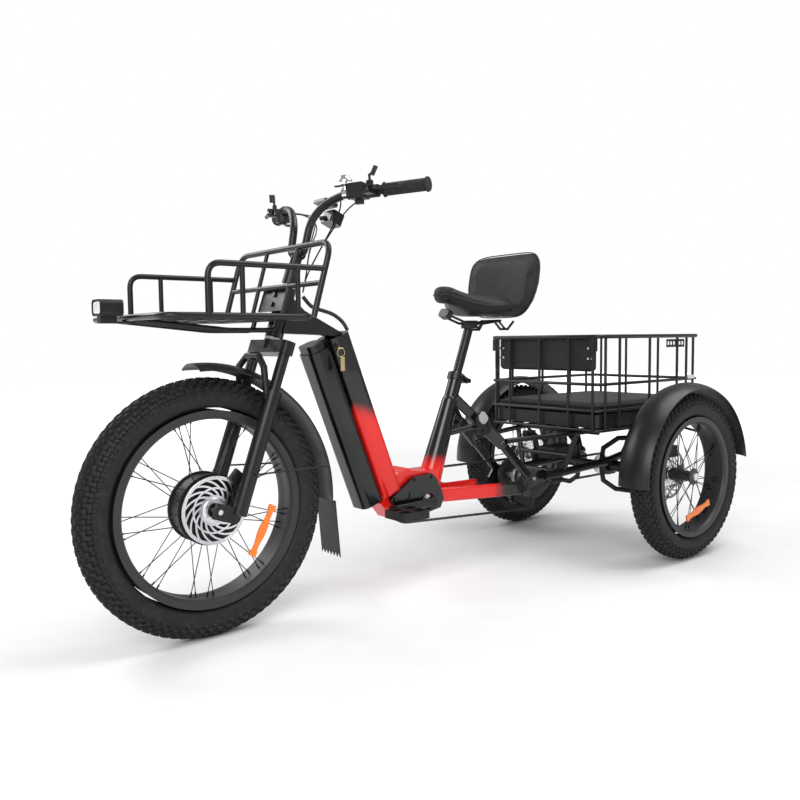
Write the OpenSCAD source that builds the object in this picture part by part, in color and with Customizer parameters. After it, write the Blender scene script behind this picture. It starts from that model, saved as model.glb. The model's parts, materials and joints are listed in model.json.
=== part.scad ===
// Fat-tyre cargo tricycle: one steered, sprung, motor-driven front wheel, two rear
// wheels on a live axle, a front rack, a saddle with a backrest and a rear basket.
// The trike faces -Y, +X is the rider's left and +Z is up. The origin is on the
// ground, half way along the machine.

/* [Main sizes] */
// Distance from the front axle to the rear axle
wheelbase = 1632; // [1450:1:1900]
// Distance between the middles of the two rear tyres
track = 792; // [760:1:860]
// Distance from the back of the front tyre to the crank axle
foot_room = 386; // [360:1:440]
// Height of the crank axle over the ground
crank_height = 271; // [240:1:300]

/* [Front wheel] */
// Outside diameter of the front tyre
front_tyre_d = 690; // [640:1:720]
// Outside diameter of the front rim's lips
front_rim_d = 522; // [480:1:540]
// Diameter of the hub motor's shell
motor_d = 184; // [140:1:200]
// Width of the hub motor's shell
motor_w = 78; // [60:1:84]

/* [Rear wheels] */
// Outside diameter of the rear tyres
rear_tyre_d = 584; // [540:1:620]
// Outside diameter of the rear rims' lips
rear_rim_d = 422; // [390:1:440]
// Diameter of the rear axle shafts
axle_d = 25; // [20:1:28]

/* [Tyres and brakes] */
// Diameter of a tyre's round section
tyre_w = 100; // [90:1:106]
// Thickness of a tyre's wall
tyre_wall = 6; // [4:0.5:8]
// Width of the rims over their lips
rim_w = 84; // [76:1:90]
// Diameter of the brake discs
disc_d = 180; // [160:1:200]
// Number of spokes in each wheel
spokes = 36; // [24:4:36]
// Diameter of one spoke
spoke_d = 2.6; // [2:0.1:3]

/* [Steering and fork] */
// Angle between the steering axis and the ground
head_angle = 70.5; // [68:0.5:73]
// Distance by which the front axle is ahead of the steering axis
fork_offset = 54; // [45:1:60]
// Distance between the middles of the two fork legs
leg_spacing = 162; // [156:1:176]
// Diameter of the fork's lower legs
lower_d = 42; // [38:1:44]
// Diameter of the fork's sliding tubes
stanchion_d = 30; // [26:0.5:32]
// How far the fork compresses
fork_travel = 45; // [30:1:50]
// Diameter of the steerer tube
steerer_d = 28.6; // [25.4:0.1:31.8]
// Outside diameter of the head tube
head_tube_d = 50; // [46:1:56]

/* [Handlebar] */
// Diameter of the handlebar tube
bar_d = 22.2; // [22:0.1:25.4]
// Overall width of the handlebar
bar_width = 750; // [700:1:800]
// Length of one grip
grip_len = 128; // [110:1:135]
// Diameter of one grip
grip_d = 34; // [30:1:38]

/* [Frame] */
// Width of the frame's down tube across the trike
down_tube_w = 88; // [76:1:96]
// Depth of the down tube, front to back
down_tube_depth = 72; // [60:1:84]
// Depth of the battery in front of the down tube
battery_depth = 76; // [60:1:84]
// Length of the battery
battery_len = 500; // [420:1:520]
// Outside diameter of the bottom bracket shell
bb_shell_d = 46; // [42:1:50]
// Diameter of the seat post
seat_post_d = 30; // [27:0.2:32]
// Length of the seat post
seat_post_len = 330; // [280:1:360]

/* [Drive] */
// Teeth on the chainring
chainring_teeth = 42; // [36:1:46]
// Teeth on the working sprocket of the cassette
cassette_teeth = 28; // [24:1:32]
// Teeth on the sprockets of the second chain
second_teeth = 20; // [16:1:22]
// Length of a crank arm between its axes
crank_len = 170; // [160:1:175]

/* [Front rack] */
// Half of the rack's width, to the middle of its side tubes
rack_half_w = 241; // [200:1:260]
// Height of the rack's deck over the fork crown
rack_rise = 85; // [78:1:110]
// Height of the rack's side rails over its deck
rack_rail_h = 122; // [90:1:150]
// Diameter of the rack's tubes
rack_tube_d = 16; // [12:1:18]

/* [Basket] */
// Outside width of the rear basket
basket_w = 520; // [440:1:560]
// Outside length of the rear basket
basket_len = 626; // [520:1:660]
// Height of the basket's lowest rail over the ground
basket_z = 461; // [455:1:480]
// Height of the basket from its lowest to its top rail
basket_h = 323; // [260:1:360]
// Diameter of the basket's rails
basket_rail_d = 14; // [10:1:16]

/* [Saddle] */
// Length of the saddle
saddle_len = 280; // [250:1:300]
// Width of the saddle at the back
saddle_w = 262; // [220:1:290]
// Height of the saddle's middle over the ground
saddle_z = 905; // [890:1:940]
// Width of the backrest
backrest_w = 330; // [270:1:350]

/* [Hidden] */
$fn = 32;

// Air left between pieces that move past each other, and between bolted pieces
gap = 0.5;
// Radial clearance of a shaft in its bearing
run = 0.05;

// Ground points of the layout, front to back
front_r = front_tyre_d / 2;
rear_r = rear_tyre_d / 2;
basket_back = 311;
function sag_of(w) = 100 - sqrt(10000 - w * w / 4);
rear_guard = rear_r + 16;
rear_guard_w = 116;
rear_reach = max(basket_back, (rear_guard + sag_of(rear_guard_w) + 3) * cos(8));
front_centre = front_r + foot_room;
front_y = -(wheelbase + rear_reach + front_r) / 2 + front_r;
rear_y = front_y + wheelbase;
bb_y = front_y + front_centre;
rear_x = track / 2;

// Steering axis: distance along it is measured from the point level with the axle
lean = 90 - head_angle;
steer_y = front_y + fork_offset / cos(lean);
function along(z) = (z - front_r) / cos(lean);
function axis_y(z) = steer_y + (z - front_r) * tan(lean);
crown_z = front_tyre_d + 67;
crown_s = along(crown_z);
head_s0 = along(crown_z + 33);
head_s1 = along(crown_z + 169);
clamp_z = crown_z + 279;
clamp_s = along(clamp_z);
leg_x = leg_spacing / 2;

// Down tube: the middle of its lower end, and its lean from the vertical
down_lean = 21.2;
down_low = [0, bb_y - 132, 312];
down_len = (crown_z + 43 - down_low[2]) / cos(down_lean);

// Seat tube: its foot, its lean and its top
seat_lean = 20.2;
seat_foot = [0, bb_y + 27, crank_height];
seat_tube_len = 425;
function seat_at(s) = seat_foot + [0, s * sin(seat_lean), s * cos(seat_lean)];

// Middle shaft, where the first chain ends and the second one starts
jack = [0, bb_y + 469, 291];
stay_x = 68;

// Handlebar line for the left half, from the clamp to the grip's end
bar_end_x = bar_width / 2;
function bar_point(x, back, up) = [x, axis_y(clamp_z + up) + back, clamp_z + up];
grip_y = axis_y(clamp_z + 137) + 5;
bar_line = [
    bar_point(40, -12, 64), bar_point(60, -13, 96), bar_point(95, -8, 122),
    [150, grip_y, clamp_z + 136.8],
    [bar_end_x, grip_y + (bar_end_x - 150) * 0.455, clamp_z + 142]
];
bar_slope = atan(0.455);

// Rear basket
basket_x = basket_w / 2;
basket_y1 = rear_y + basket_back;
basket_y0 = basket_y1 - basket_len;
floor_z = basket_z + 68;
mid_z = basket_z + 160;
top_z = basket_z + basket_h;
rail_r = basket_rail_d / 2;

// Rack
rack_z = crown_z + rack_rise;
rack_y0 = front_y - 200;
rack_y1 = axis_y(rack_z) - 41;
rail_y0 = front_y - 93;
rack_r = rack_tube_d / 2;

// Chains
pitch = 12.7;
function sprocket_r(teeth) = pitch / 2 / sin(180 / teeth);
chain_x = -50;
second_x = 24;
ring_r = sprocket_r(chainring_teeth);
cog_r = sprocket_r(cassette_teeth);
second_r = sprocket_r(second_teeth);
guide_pulley = [jack[1] + 32, jack[2] - 88];
tension_pulley = [jack[1] + 112, jack[2] - 118];
pulley_r = sprocket_r(11);

/* ---------- shared shapes ---------- */

// How much larger a ball at a bend is than the bar
bead = 0.4;

// Straight round bar from a to b
module rod(a, b, r) {
    d = b - a;
    translate(a)
        rotate([0, acos(d[2] / norm(d)), atan2(d[1], d[0])])
            cylinder(h = norm(d), r = r);
}

// Round bar through a list of points, with a ball at each bend
module run_rod(points, r) {
    for (i = [0 : len(points) - 2])
        rod(points[i], points[i + 1], r);
    for (i = [1 : len(points) - 2]) {
        d = points[i + 1] - points[i];
        translate(points[i])
            rotate([0, acos(d[2] / norm(d)), atan2(d[1], d[0])]) sphere(r = r + bead);
    }
}

// The same, closed into a loop
module loop_rod(points, r) {
    for (i = [0 : len(points) - 1]) {
        rod(points[i], points[(i + 1) % len(points)], r);
        translate(points[i]) sphere(r = r + bead);
    }
}

// Flat outline with round corners, w along X and d along Y
module round_rect(w, d, r) {
    square([w - 2 * r, d], center = true);
    square([w, d - 2 * r], center = true);
    for (x = [-1, 1], y = [-1, 1])
        translate([x * (w / 2 - r), y * (d / 2 - r)]) circle(r = r);
}

// Box with rounded upright edges, its middle at the origin
module round_box(w, d, h, r) {
    linear_extrude(height = h, center = true) round_rect(w, d, r);
}

// Rectangular beam with round edges from a to b, w across and h high
module beam(a, b, w, h, r) {
    d = b - a;
    translate(a)
        rotate([0, acos(d[2] / norm(d)), atan2(d[1], d[0])])
            linear_extrude(height = norm(d)) round_rect(h, w, r);
}

// Puts a shape drawn round +Z on an axis along +X; angles then start straight down
module on_x(p) {
    translate(p) rotate([0, 90, 0]) children();
}

// Round disc or tube across the trike, its middle at p
module disc_x(p, r, w) {
    on_x(p) cylinder(h = w, r = r, center = true);
}

// Extrudes an outline drawn as [y, z] points across the trike from x0 over w
module slab(x0, w) {
    translate([x0, 0, 0])
        rotate([90, 0, 90]) linear_extrude(height = w) children();
}

// Mirror copy on the other side of the trike
module both_sides() {
    children();
    mirror([1, 0, 0]) children();
}

// Places children in the steering frame: local Z runs up the steering axis
module on_steering() {
    translate([0, steer_y, front_r]) rotate([-lean, 0, 0]) children();
}

// Places children on the down tube: local Z runs up it from its lower end
module on_down_tube() {
    translate(down_low) rotate([down_lean, 0, 0]) children();
}

/* ---------- wheels ---------- */

// Hollow round-section tyre, open towards the rim
module tyre(outer_d, rim_d) {
    difference() {
        rotate_extrude() translate([outer_d / 2 - tyre_w / 2, 0]) circle(d = tyre_w);
        rotate_extrude()
            translate([outer_d / 2 - tyre_w / 2, 0]) circle(d = tyre_w - 2 * tyre_wall);
        cylinder(h = tyre_w, r = rim_d / 2 - 6, center = true);
        // steps that seat the beads inside the lips of the rim
        for (s = [-1, 1]) translate([0, 0, s * (rim_w / 2 - 3 - gap + 10)])
            cylinder(h = 20, r = rim_d / 2 + gap, center = true);
    }
}

// Channel-shaped rim
module rim(rim_d) {
    lip = rim_d / 2;
    half = rim_w / 2;
    rotate_extrude()
        polygon([
            [lip, half], [lip - 18, half], [lip - 24, half - 9], [lip - 24, 9 - half],
            [lip - 18, -half], [lip, -half], [lip, 3 - half], [lip - 14, 3.5 - half],
            [lip - 20, 12 - half], [lip - 20, half - 12], [lip - 14, half - 3.5],
            [lip, half - 3]
        ]);
}

// Crossed spokes between a hub flange and the rim
module spoke_set(rim_d, flange_r, flange_x) {
    r_out = rim_d / 2 - 24 - gap;
    for (i = [0 : spokes - 1]) {
        side = (i % 2) * 2 - 1;
        twist = (floor(i / 2) % 2) * 2 - 1;
        a_in = i * 360 / spokes;
        a_out = a_in + twist * 360 / spokes * 1.2;
        apart = twist * (spoke_d / 2 + 0.4);
        rod([flange_r * cos(a_in), flange_r * sin(a_in), side * (flange_x + apart)],
            [r_out * cos(a_out), r_out * sin(a_out), side * (8 + apart)], spoke_d / 2);
    }
}

// Reflector clipped between the spokes on the wheel's left side
module reflector(r, a) {
    rotate([0, 0, a]) translate([r, 0, 27.5]) cube([24, 148, 6], center = true);
}

module front_wheel_at() {
    on_x([0, front_y, front_r]) children();
}

front_disc_x = leg_x - lower_d / 2 - 13;
disc_t = 2.3;

module front_tyre() {
    color([0.13, 0.13, 0.14]) front_wheel_at() tyre(front_tyre_d, front_rim_d);
}

module front_rim() {
    color([0.1, 0.1, 0.11]) front_wheel_at() {
        rim(front_rim_d);
        spoke_set(front_rim_d, motor_d / 2 + 3, 30);
    }
    color("orange") front_wheel_at() reflector(170, 62);
}

// Motor shell with cooling flutes, spoke flanges, the brake disc and its bolts, and the
// fixed-looking axle ends that turn in the dropouts
module hub_motor() {
    color([0.12, 0.12, 0.13]) front_wheel_at() difference() {
        union() {
            cylinder(h = motor_w, d = motor_d, center = true);
            for (s = [-1, 1])
                translate([0, 0, s * 30]) cylinder(h = 5, d = motor_d + 4, center = true);
        }
        cylinder(h = 200, d = 14, center = true);
    }
    color("silver") front_wheel_at() {
        cylinder(h = leg_spacing + 8, d = 14 - 2 * run, center = true);
        difference() {
            union() {
                translate([0, 0, front_disc_x]) cylinder(h = disc_t, d = disc_d);
                cylinder_from(motor_w / 2 - 1, front_disc_x + 1, 36);
            }
            cylinder(h = 200, d = 14, center = true);
        }
    }
}

module rear_wheel_at(side) {
    on_x([side * rear_x, rear_y, rear_r]) children();
}

module rear_tyre(side) {
    color([0.13, 0.13, 0.14]) rear_wheel_at(side) tyre(rear_tyre_d, rear_rim_d);
}

module rear_rim(side) {
    color([0.1, 0.1, 0.11]) rear_wheel_at(side) {
        rim(rear_rim_d);
        spoke_set(rear_rim_d, 30.5, 30);
    }
    color("orange") rear_wheel_at(side)
        mirror([0, 0, side < 0 ? 1 : 0]) reflector(130, 16);
}

// Hub shell with two flanges, the brake disc inboard and the axle shaft; inner_x is
// where the shaft ends near the middle of the trike
module rear_hub(side, inner_x, sprocket) {
    disc_x0 = rear_x - 62;
    color([0.1, 0.1, 0.1]) difference() {
        union() {
            disc_x([side * rear_x, rear_y, rear_r], 17, 66);
            for (s = [-1, 1])
                disc_x([side * rear_x + s * 30, rear_y, rear_r], 29, 4);
            disc_x([side * (rear_x - 44), rear_y, rear_r], 22, 26);
        }
        disc_x([side * rear_x, rear_y, rear_r], axle_d / 2, 200);
    }
    color("silver") {
        difference() {
            disc_x([side * disc_x0, rear_y, rear_r], disc_d / 2, disc_t);
            disc_x([side * disc_x0, rear_y, rear_r], axle_d / 2, 20);
        }
        rod([side * inner_x, rear_y, rear_r], [side * (rear_x + 42), rear_y, rear_r],
            axle_d / 2 - run);
        disc_x([side * (rear_x + 37), rear_y, rear_r], 14, 8);
        if (sprocket)
            disc_x([second_x, rear_y, rear_r], second_r - 4, 3);
    }
}

/* ---------- fork and front end ---------- */

module fork_crown() {
    color([0.1, 0.1, 0.1]) on_steering() {
        translate([0, 0, crown_s + 6]) round_box(leg_spacing + 44, 40, 36, 18);
        cylinder_from(crown_s, head_s0 - 9 - gap, head_tube_d / 2 - 1);
        for (s = [-1, 1])
            translate([s * leg_x, 0, 130]) cylinder(h = crown_s - 130, d = stanchion_d);
        cylinder_from(crown_s, head_s1 + 36, steerer_d / 2);
    }
}

// Upright cylinder between two heights
module cylinder_from(z0, z1, r) {
    translate([0, 0, z0]) cylinder(h = z1 - z0, r = r);
}

// Lower legs with their dropouts and the arch over the tyre
module fork_lowers() {
    leg_top = front_r - 23;
    arch = front_r + 59;
    color([0.1, 0.1, 0.1]) on_steering() {
        for (s = [-1, 1]) difference() {
            union() {
                translate([s * leg_x, 0, -16]) cylinder(h = leg_top + 16, d = lower_d);
                translate([s * leg_x, 0, leg_top - 20]) cylinder(h = 20, d = lower_d + 5);
                translate([s * leg_x - 6, -fork_offset - 16, -40])
                    cube([12, fork_offset + 16, 42]);
            }
            translate([s * leg_x, 0, 60]) cylinder(h = leg_top, d = stanchion_d + 2 * run);
            translate([s * leg_x, -fork_offset, -fork_offset * tan(lean)])
                rotate([0, 90, 0]) cylinder(h = 60, d = 15, center = true);
        }
        difference() {
            for (s = [-1, 1]) {
                rod([s * leg_x, -14, leg_top - 24], [s * (leg_x - 12), -42, arch - 28], 9);
                rod([s * (leg_x - 12), -42, arch - 28], [s * 34, -46, arch], 9);
                translate([s * (leg_x - 12), -42, arch - 28]) sphere(r = 9 + bead);
                translate([s * 34, -46, arch]) sphere(r = 9 + bead);
            }
            for (s = [-1, 1])
                translate([s * leg_x, 0, 60]) cylinder(h = leg_top, d = stanchion_d + 2 * run);
        }
        rod([-34, -46, arch], [34, -46, arch], 9);
    }
}

// Curved guard round part of a wheel; angles are measured from straight down, turning
// towards the back
module guard(inner_r, w, from, to) {
    arch_r = 100;
    sag = sag_of(w);
    rotate([0, 0, from])
        rotate_extrude(angle = to - from)
            intersection() {
                translate([inner_r + sag + 3 - arch_r, 0]) difference() {
                    circle(r = arch_r, $fn = 64);
                    circle(r = arch_r - 3, $fn = 64);
                }
                translate([inner_r - 6, -w / 2]) square([sag + 12, w]);
            }
}

module front_fender() {
    guard_r = front_r + 18;
    flap_w = 96;
    color([0.1, 0.1, 0.1]) front_wheel_at() guard(guard_r, 112, 86, 185);
    // serrated flap hanging from the guard's back end
    color([0.08, 0.08, 0.08])
        translate([0, front_y + guard_r + 14, front_r - 26])
            rotate([95, 0, 0]) translate([0, 0, -3]) linear_extrude(height = 3)
                polygon(concat([[-flap_w / 2, 0], [flap_w / 2, 0]], [
                    for (i = [0 : 12]) [flap_w * (0.5 - i / 12), (i % 2) * 15 - 170]
                ]));
    color("silver") both_sides()
        rod([leg_x + lower_d / 2 + 3, steer_y + 34, front_r + 90],
            [55, front_y + sqrt(pow(guard_r + 1, 2) - 6400), front_r + 80], 2.5);
    // post under the fork's arch
    color([0.1, 0.1, 0.1]) on_steering() translate([0, -46, 0])
        cylinder_from(guard_r - 4, front_r + 59 - 9 - gap, 8);
}

module front_caliper() {
    color([0.2, 0.2, 0.21])
        translate([front_disc_x + 4, front_y, front_r]) rotate([-43, 0, 0])
            translate([0, 0, disc_d / 2 + 12]) difference() {
                round_box(16, 52, 34, 6);
                translate([-disc_t / 2 - 3.9, -40, -22]) cube([disc_t + 2, 80, 34]);
            }
}

module bearings() {
    color("silver") on_steering() {
        for (z = [head_s0 - 9, head_s1 + gap]) difference() {
            translate([0, 0, z]) cylinder(h = 8, r = head_tube_d / 2 - 1);
            translate([0, 0, z - 1]) cylinder(h = 12, d = steerer_d + 2 * run);
        }
    }
    color("silver") for (s = [-1, 1]) difference() {
        disc_x([s * 39.3, bb_y, crank_height], bb_shell_d / 2 - 2, 5);
        disc_x([s * 39.3, bb_y, crank_height], 8 + run, 20);
    }
}

// Mast that carries the handlebar over the head tube
module stem() {
    top = clamp_s + 2;
    color([0.1, 0.1, 0.1]) on_steering() difference() {
        union() {
            cylinder_from(head_s1 + 10, head_s1 + 60, 21);
            cylinder_from(head_s1 + 60, top - 16, 16);
            translate([0, 0, top - 14]) rotate([0, 90, 0])
                cylinder(h = 30, r = bar_d / 2 + 7, center = true);
        }
        cylinder_from(0, head_s1 + 36 + gap, steerer_d / 2 + gap / 2);
        translate([0, 0, top - 14]) rotate([0, 90, 0])
            cylinder(h = 60, r = bar_d / 2, center = true);
    }
}

module handlebar() {
    s = clamp_s - 12;
    p = [0, steer_y + s * sin(lean), front_r + s * cos(lean)];
    left = concat([p + [32, 0, 0], p + [38, 0, 24]], bar_line);
    right = [for (i = [len(left) - 1 : -1 : 0]) [-left[i][0], left[i][1], left[i][2]]];
    color([0.1, 0.1, 0.1]) run_rod(concat(right, left), bar_d / 2 - run);
}

// Places children on the straight outer part of the bar; local X runs to its end and
// the origin is a distance in from the end
module on_bar(side, inset) {
    e = bar_line[len(bar_line) - 1];
    mirror([side < 0 ? 1 : 0, 0, 0])
        translate(e) rotate([0, -1.2, bar_slope]) translate([-inset, 0, 0]) children();
}

// Collar that hugs the bar tube
module collar(w, r) {
    rotate([0, 90, 0]) difference() {
        cylinder(h = w, r = r, center = true);
        cylinder(h = w + 2, r = bar_d / 2 + gap, center = true);
    }
}

module grips() {
    color([0.15, 0.15, 0.16]) for (side = [-1, 1])
        on_bar(side, grip_len / 2 - 3) {
            collar(grip_len, grip_d / 2);
            translate([grip_len / 2 - 2, 0, 0]) collar(6, grip_d / 2 + 3);
            translate([grip_len / 2 + 2, 0, 0]) rotate([0, 90, 0]) cylinder(h = 3, r = grip_d / 2);
        }
}

lever_inset = grip_len + 28;

module lever_clamps() {
    color([0.12, 0.12, 0.12]) for (side = [-1, 1])
        on_bar(side, lever_inset) {
            collar(26, 17);
            difference() {
                translate([0, -30, 0]) cube([26, 36, 24], center = true);
                rotate([0, 90, 0]) cylinder(h = 60, r = 16, center = true);
                translate([0, -38, 0]) cube([30, 26, 11], center = true);
            }
            // pivot of the brake lever
            translate([0, -36, 0]) cylinder(h = 23, r = 2.5, center = true);
            // lugs and pin of the parking catch
            for (x = [-4, 8]) translate([x, -26, 17]) cube([3, 12, 13], center = true);
            translate([2, -26, 20]) rotate([0, 90, 0]) cylinder(h = 15, r = 2, center = true);
        }
}

// Brake lever: a blade in front of the grip that turns on an upright pivot
module brake_lever(side) {
    color([0.16, 0.16, 0.17]) on_bar(side, lever_inset) {
        translate([0, -36, 0]) difference() {
            cylinder(h = 10, r = 9, center = true);
            cylinder(h = 20, r = 2.6, center = true);
        }
        run_rod([[6, -36, 0], [30, -44, 0], [100, -42, 0]], 4.2);
        translate([100, -42, 0]) sphere(r = 6);
    }
}

// Parking catch that swings up over the lever clamp
module park_catch(side) {
    color([0.12, 0.12, 0.12]) on_bar(side, lever_inset) {
        difference() {
            union() {
                translate([2, -26, 20]) rotate([0, 90, 0])
                    cylinder(h = 8, r = 5.5, center = true);
                run_rod([[2, -26, 23], [3, -29, 37], [15, -31, 42]], 3.4);
            }
            translate([2, -26, 20]) rotate([0, 90, 0]) cylinder(h = 12, r = 2 + run, center = true);
        }
        translate([18, -31, 46]) rotate([0, 30, 0]) round_box(6, 18, 26, 2.5);
    }
}

module control_box() {
    color([0.11, 0.11, 0.12]) on_bar(1, lever_inset + 46) {
        difference() {
            translate([0, -2, 4]) rotate([90, 0, 0]) round_box(50, 42, 40, 6);
            rotate([0, 90, 0]) cylinder(h = 80, r = bar_d / 2 + gap, center = true);
            translate([-12, 22, 10]) rotate([90, 0, 0]) cylinder(h = 20, r = 6 + gap, center = true);
        }
        translate([2, -2, -24]) cube([20, 16, 12], center = true);
    }
}

module horn_button() {
    color([0.7, 0.1, 0.1]) on_bar(1, lever_inset + 46)
        translate([-12, 19, 10]) rotate([90, 0, 0]) cylinder(h = 10, r = 6, center = true);
}

module display() {
    color([0.08, 0.08, 0.09]) {
        translate([50, axis_y(clamp_z + 129) + 14, clamp_z + 127]) rotate([-20, 0, 0]) round_box(62, 46, 9, 5);
        translate([62, axis_y(clamp_z + 84) + 44, clamp_z + 84]) rotate([-24, 0, 0]) round_box(56, 40, 34, 8);
    }
    color([0.1, 0.1, 0.1]) {
        rod([56, axis_y(clamp_z + 82) + 8, clamp_z + 84],
            [58, axis_y(clamp_z + 84) + 34, clamp_z + 88], 6);
        rod([82, axis_y(clamp_z + 117) + 8, clamp_z + 122],
            [70, axis_y(clamp_z + 127) + 14, clamp_z + 126], 3.5);
    }
}

bell_inset = lever_inset + 84;

module bell() {
    color([0.9, 0.9, 0.92]) on_bar(1, bell_inset) translate([0, -8, 30]) {
        intersection() {
            sphere(r = 21);
            cylinder(h = 30, r = 30);
        }
    }
    color([0.08, 0.08, 0.08]) on_bar(1, bell_inset) {
        collar(14, 15);
        rod([0, -8, 11], [0, -8, 30.6], 6);
    }
}

module bell_lever() {
    color([0.08, 0.08, 0.08]) on_bar(1, bell_inset) translate([0, -8, 23]) {
        difference() {
            cylinder(h = 4, r = 11, center = true);
            cylinder(h = 8, r = 6 + run, center = true);
        }
        translate([-20, 0, 0]) cube([22, 7, 4], center = true);
    }
}

pod_inset = lever_inset + 36;

// Gear shifter under the right side of the bar
module shifter_pod() {
    color([0.12, 0.12, 0.12]) on_bar(-1, pod_inset) difference() {
        union() {
            collar(16, 16);
            translate([0, -6, -24]) cylinder(h = 18, r = 21, center = true);
        }
        rotate([0, 90, 0]) cylinder(h = 60, r = bar_d / 2 + gap, center = true);
    }
}

module shift_lever() {
    color([0.15, 0.15, 0.15]) on_bar(-1, pod_inset) translate([0, -6, -36]) {
        cylinder(h = 4, r = 12, center = true);
        rod([8, 6, -1.2], [34, 20, -1.2], 3);
        translate([36, 21, -1.2]) rotate([0, 0, 36]) round_box(20, 12, 6, 3);
    }
}

// Thumb throttle on the right, between the shifter and the lever clamp
module throttle_lever() {
    color([0.12, 0.12, 0.12]) on_bar(-1, lever_inset - 22) {
        collar(12, 18);
        rod([0, 14, -8], [0, 32, -16], 5);
        translate([2, 36, -18]) rotate([-30, 0, 0]) round_box(20, 18, 6, 3);
    }
}

/* ---------- frame ---------- */

// Space that the seat post slides in
module post_bore() {
    translate(seat_foot) rotate([-seat_lean, 0, 0])
        cylinder_from(70, seat_tube_len + 1, seat_post_d / 2 + run);
}

module main_frame() {
    neck_w = 58;
    red = [0.72, 0.06, 0.05];
    color([0.1, 0.1, 0.1]) difference() {
        union() {
            on_steering() cylinder_from(head_s0, head_s1, head_tube_d / 2);
            // neck between the head tube and the down tube
            slab(-neck_w / 2, neck_w) polygon([
                [axis_y(crown_z + 143) + 8, crown_z + 143],
                [axis_y(crown_z + 123) + 52, crown_z + 109],
                [down_top()[1] + 46, down_top()[2] - 12],
                [down_top()[1] - 33, down_top()[2] - 4], [axis_y(crown_z + 43) + 8, crown_z + 45]
            ]);
            on_down_tube() linear_extrude(height = down_len - 4)
                round_rect(down_tube_w, down_tube_depth, 20);
            // seat tube, tapered, over a straight socket for the post
            translate(seat_foot) rotate([-seat_lean, 0, 0]) {
                translate([0, 0, 60]) cylinder(h = 270, r1 = 38, r2 = 27);
                cylinder_from(330, seat_tube_len, 23);
                translate([0, 0, 326]) sphere(r = 27);
            }
        }
        on_steering() cylinder_from(head_s0 - 30, head_s1 + 30, steerer_d / 2 + 2);
        post_bore();
    }
    color(red) difference() {
        union() {
            // bottom of the frame, round the crank axle
            slab(-36, 72) polygon([
                [down_low[1] - 46, down_low[2] - 28], [down_low[1] - 2, crank_height - 40],
                [bb_y - 50, crank_height - 46], [bb_y + 34, crank_height - 34],
                [bb_y + 62, crank_height + 30], [bb_y + 64, crank_height + 96],
                [bb_y - 20, crank_height + 96], [bb_y - 58, crank_height + 104],
                [down_low[1] + 64, down_low[2] + 70], [down_low[1] + 24, down_low[2] + 60]
            ]);
            disc_x([0, bb_y, crank_height], bb_shell_d / 2, 73);
            both_sides()
                beam([32, bb_y + 26, crank_height + 11], [stay_x, jack[1] - 66, jack[2] - 26],
                    18, 46, 8);
        }
        disc_x([0, bb_y, crank_height], bb_shell_d / 2 - 4, 90);
        post_bore();
    }
    color([0.1, 0.1, 0.1]) both_sides() {
        // seat stays, straight to the plates and then cranked down to the dropouts
        difference() {
            beam(seat_at(338) + [16, 4, 0], [50, bb_y + 232, 500], 18, 34, 7);
            post_bore();
        }
        beam([50, bb_y + 232, 500], [66, bb_y + 318, 424], 18, 40, 7);
        beam([66, bb_y + 318, 424], [stay_x + 4, jack[1] - 30, jack[2] + 14], 18, 30, 7);
        translate([66, bb_y + 318, 424]) sphere(r = 15);
        // brace from the seat tube to the plates
        rod(seat_at(216) + [10, 20, 0], [46, bb_y + 222, 494], 10);
        // dropout plate
        difference() {
            slab(stay_x - 4, 8) polygon([
                [jack[1] - 84, jack[2] - 48], [jack[1] - 84, jack[2] - 4],
                [jack[1] - 50, jack[2] + 40], [jack[1] + 10, jack[2] + 34],
                [jack[1] + 60, jack[2] + 24], [jack[1] + 60, jack[2] - 12],
                [jack[1] + 14, jack[2] - 26]
            ]);
            disc_x([stay_x, jack[1], jack[2]], 6 + run, 20);
        }
    }
}

// Middle of the down tube's upper end
function down_top() = down_low + [0, -down_len * sin(down_lean), down_len * cos(down_lean)];

// Bolted silver plates that tie the stays and their brace together
module stay_plates() {
    color([0.85, 0.85, 0.86]) both_sides() {
        slab(66, 5) polygon([
            [bb_y + 190, 522], [bb_y + 210, 545], [bb_y + 232, 540], [bb_y + 262, 505],
            [bb_y + 258, 472], [bb_y + 236, 462], [bb_y + 204, 470]
        ]);
        for (p = [[bb_y + 214, 524], [bb_y + 244, 500], [bb_y + 226, 478]])
            disc_x([72.5 + gap, p[0], p[1]], 6, 3);
    }
}

module battery() {
    offset_y = down_tube_depth / 2 + gap + battery_depth / 2;
    color([0.12, 0.12, 0.13]) on_down_tube() {
        translate([0, -offset_y, 2]) linear_extrude(height = battery_len)
            round_rect(down_tube_w - 4, battery_depth, 24);
        translate([0, -offset_y - 4, battery_len + 2 + gap + 11])
            round_box(down_tube_w - 14, battery_depth - 16, 22, 20);
    }
    // lock barrel in the side of the frame
    color("silver") disc_x(lock_at() + [0.2, 0, 0], 11, 6);
}

function lock_at() = [down_tube_w / 2 + 4, down_top()[1] - 20, down_top()[2] - 40];

// Key in the lock, with its ring and a second key hanging from it
module key_ring() {
    k = lock_at();
    color("gold") {
        disc_x(k + [9, 0, 0], 4, 10);
        translate(k + [19, 0, 0]) cube([10, 20, 2.4], center = true);
        translate(k + [25.2, 0, -13]) rotate([0, 90, 0]) rotate_extrude() translate([12, 0]) circle(r = 1);
        translate(k + [25.2, 4, -45]) cube([3, 14, 40], center = true);
    }
}

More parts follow.
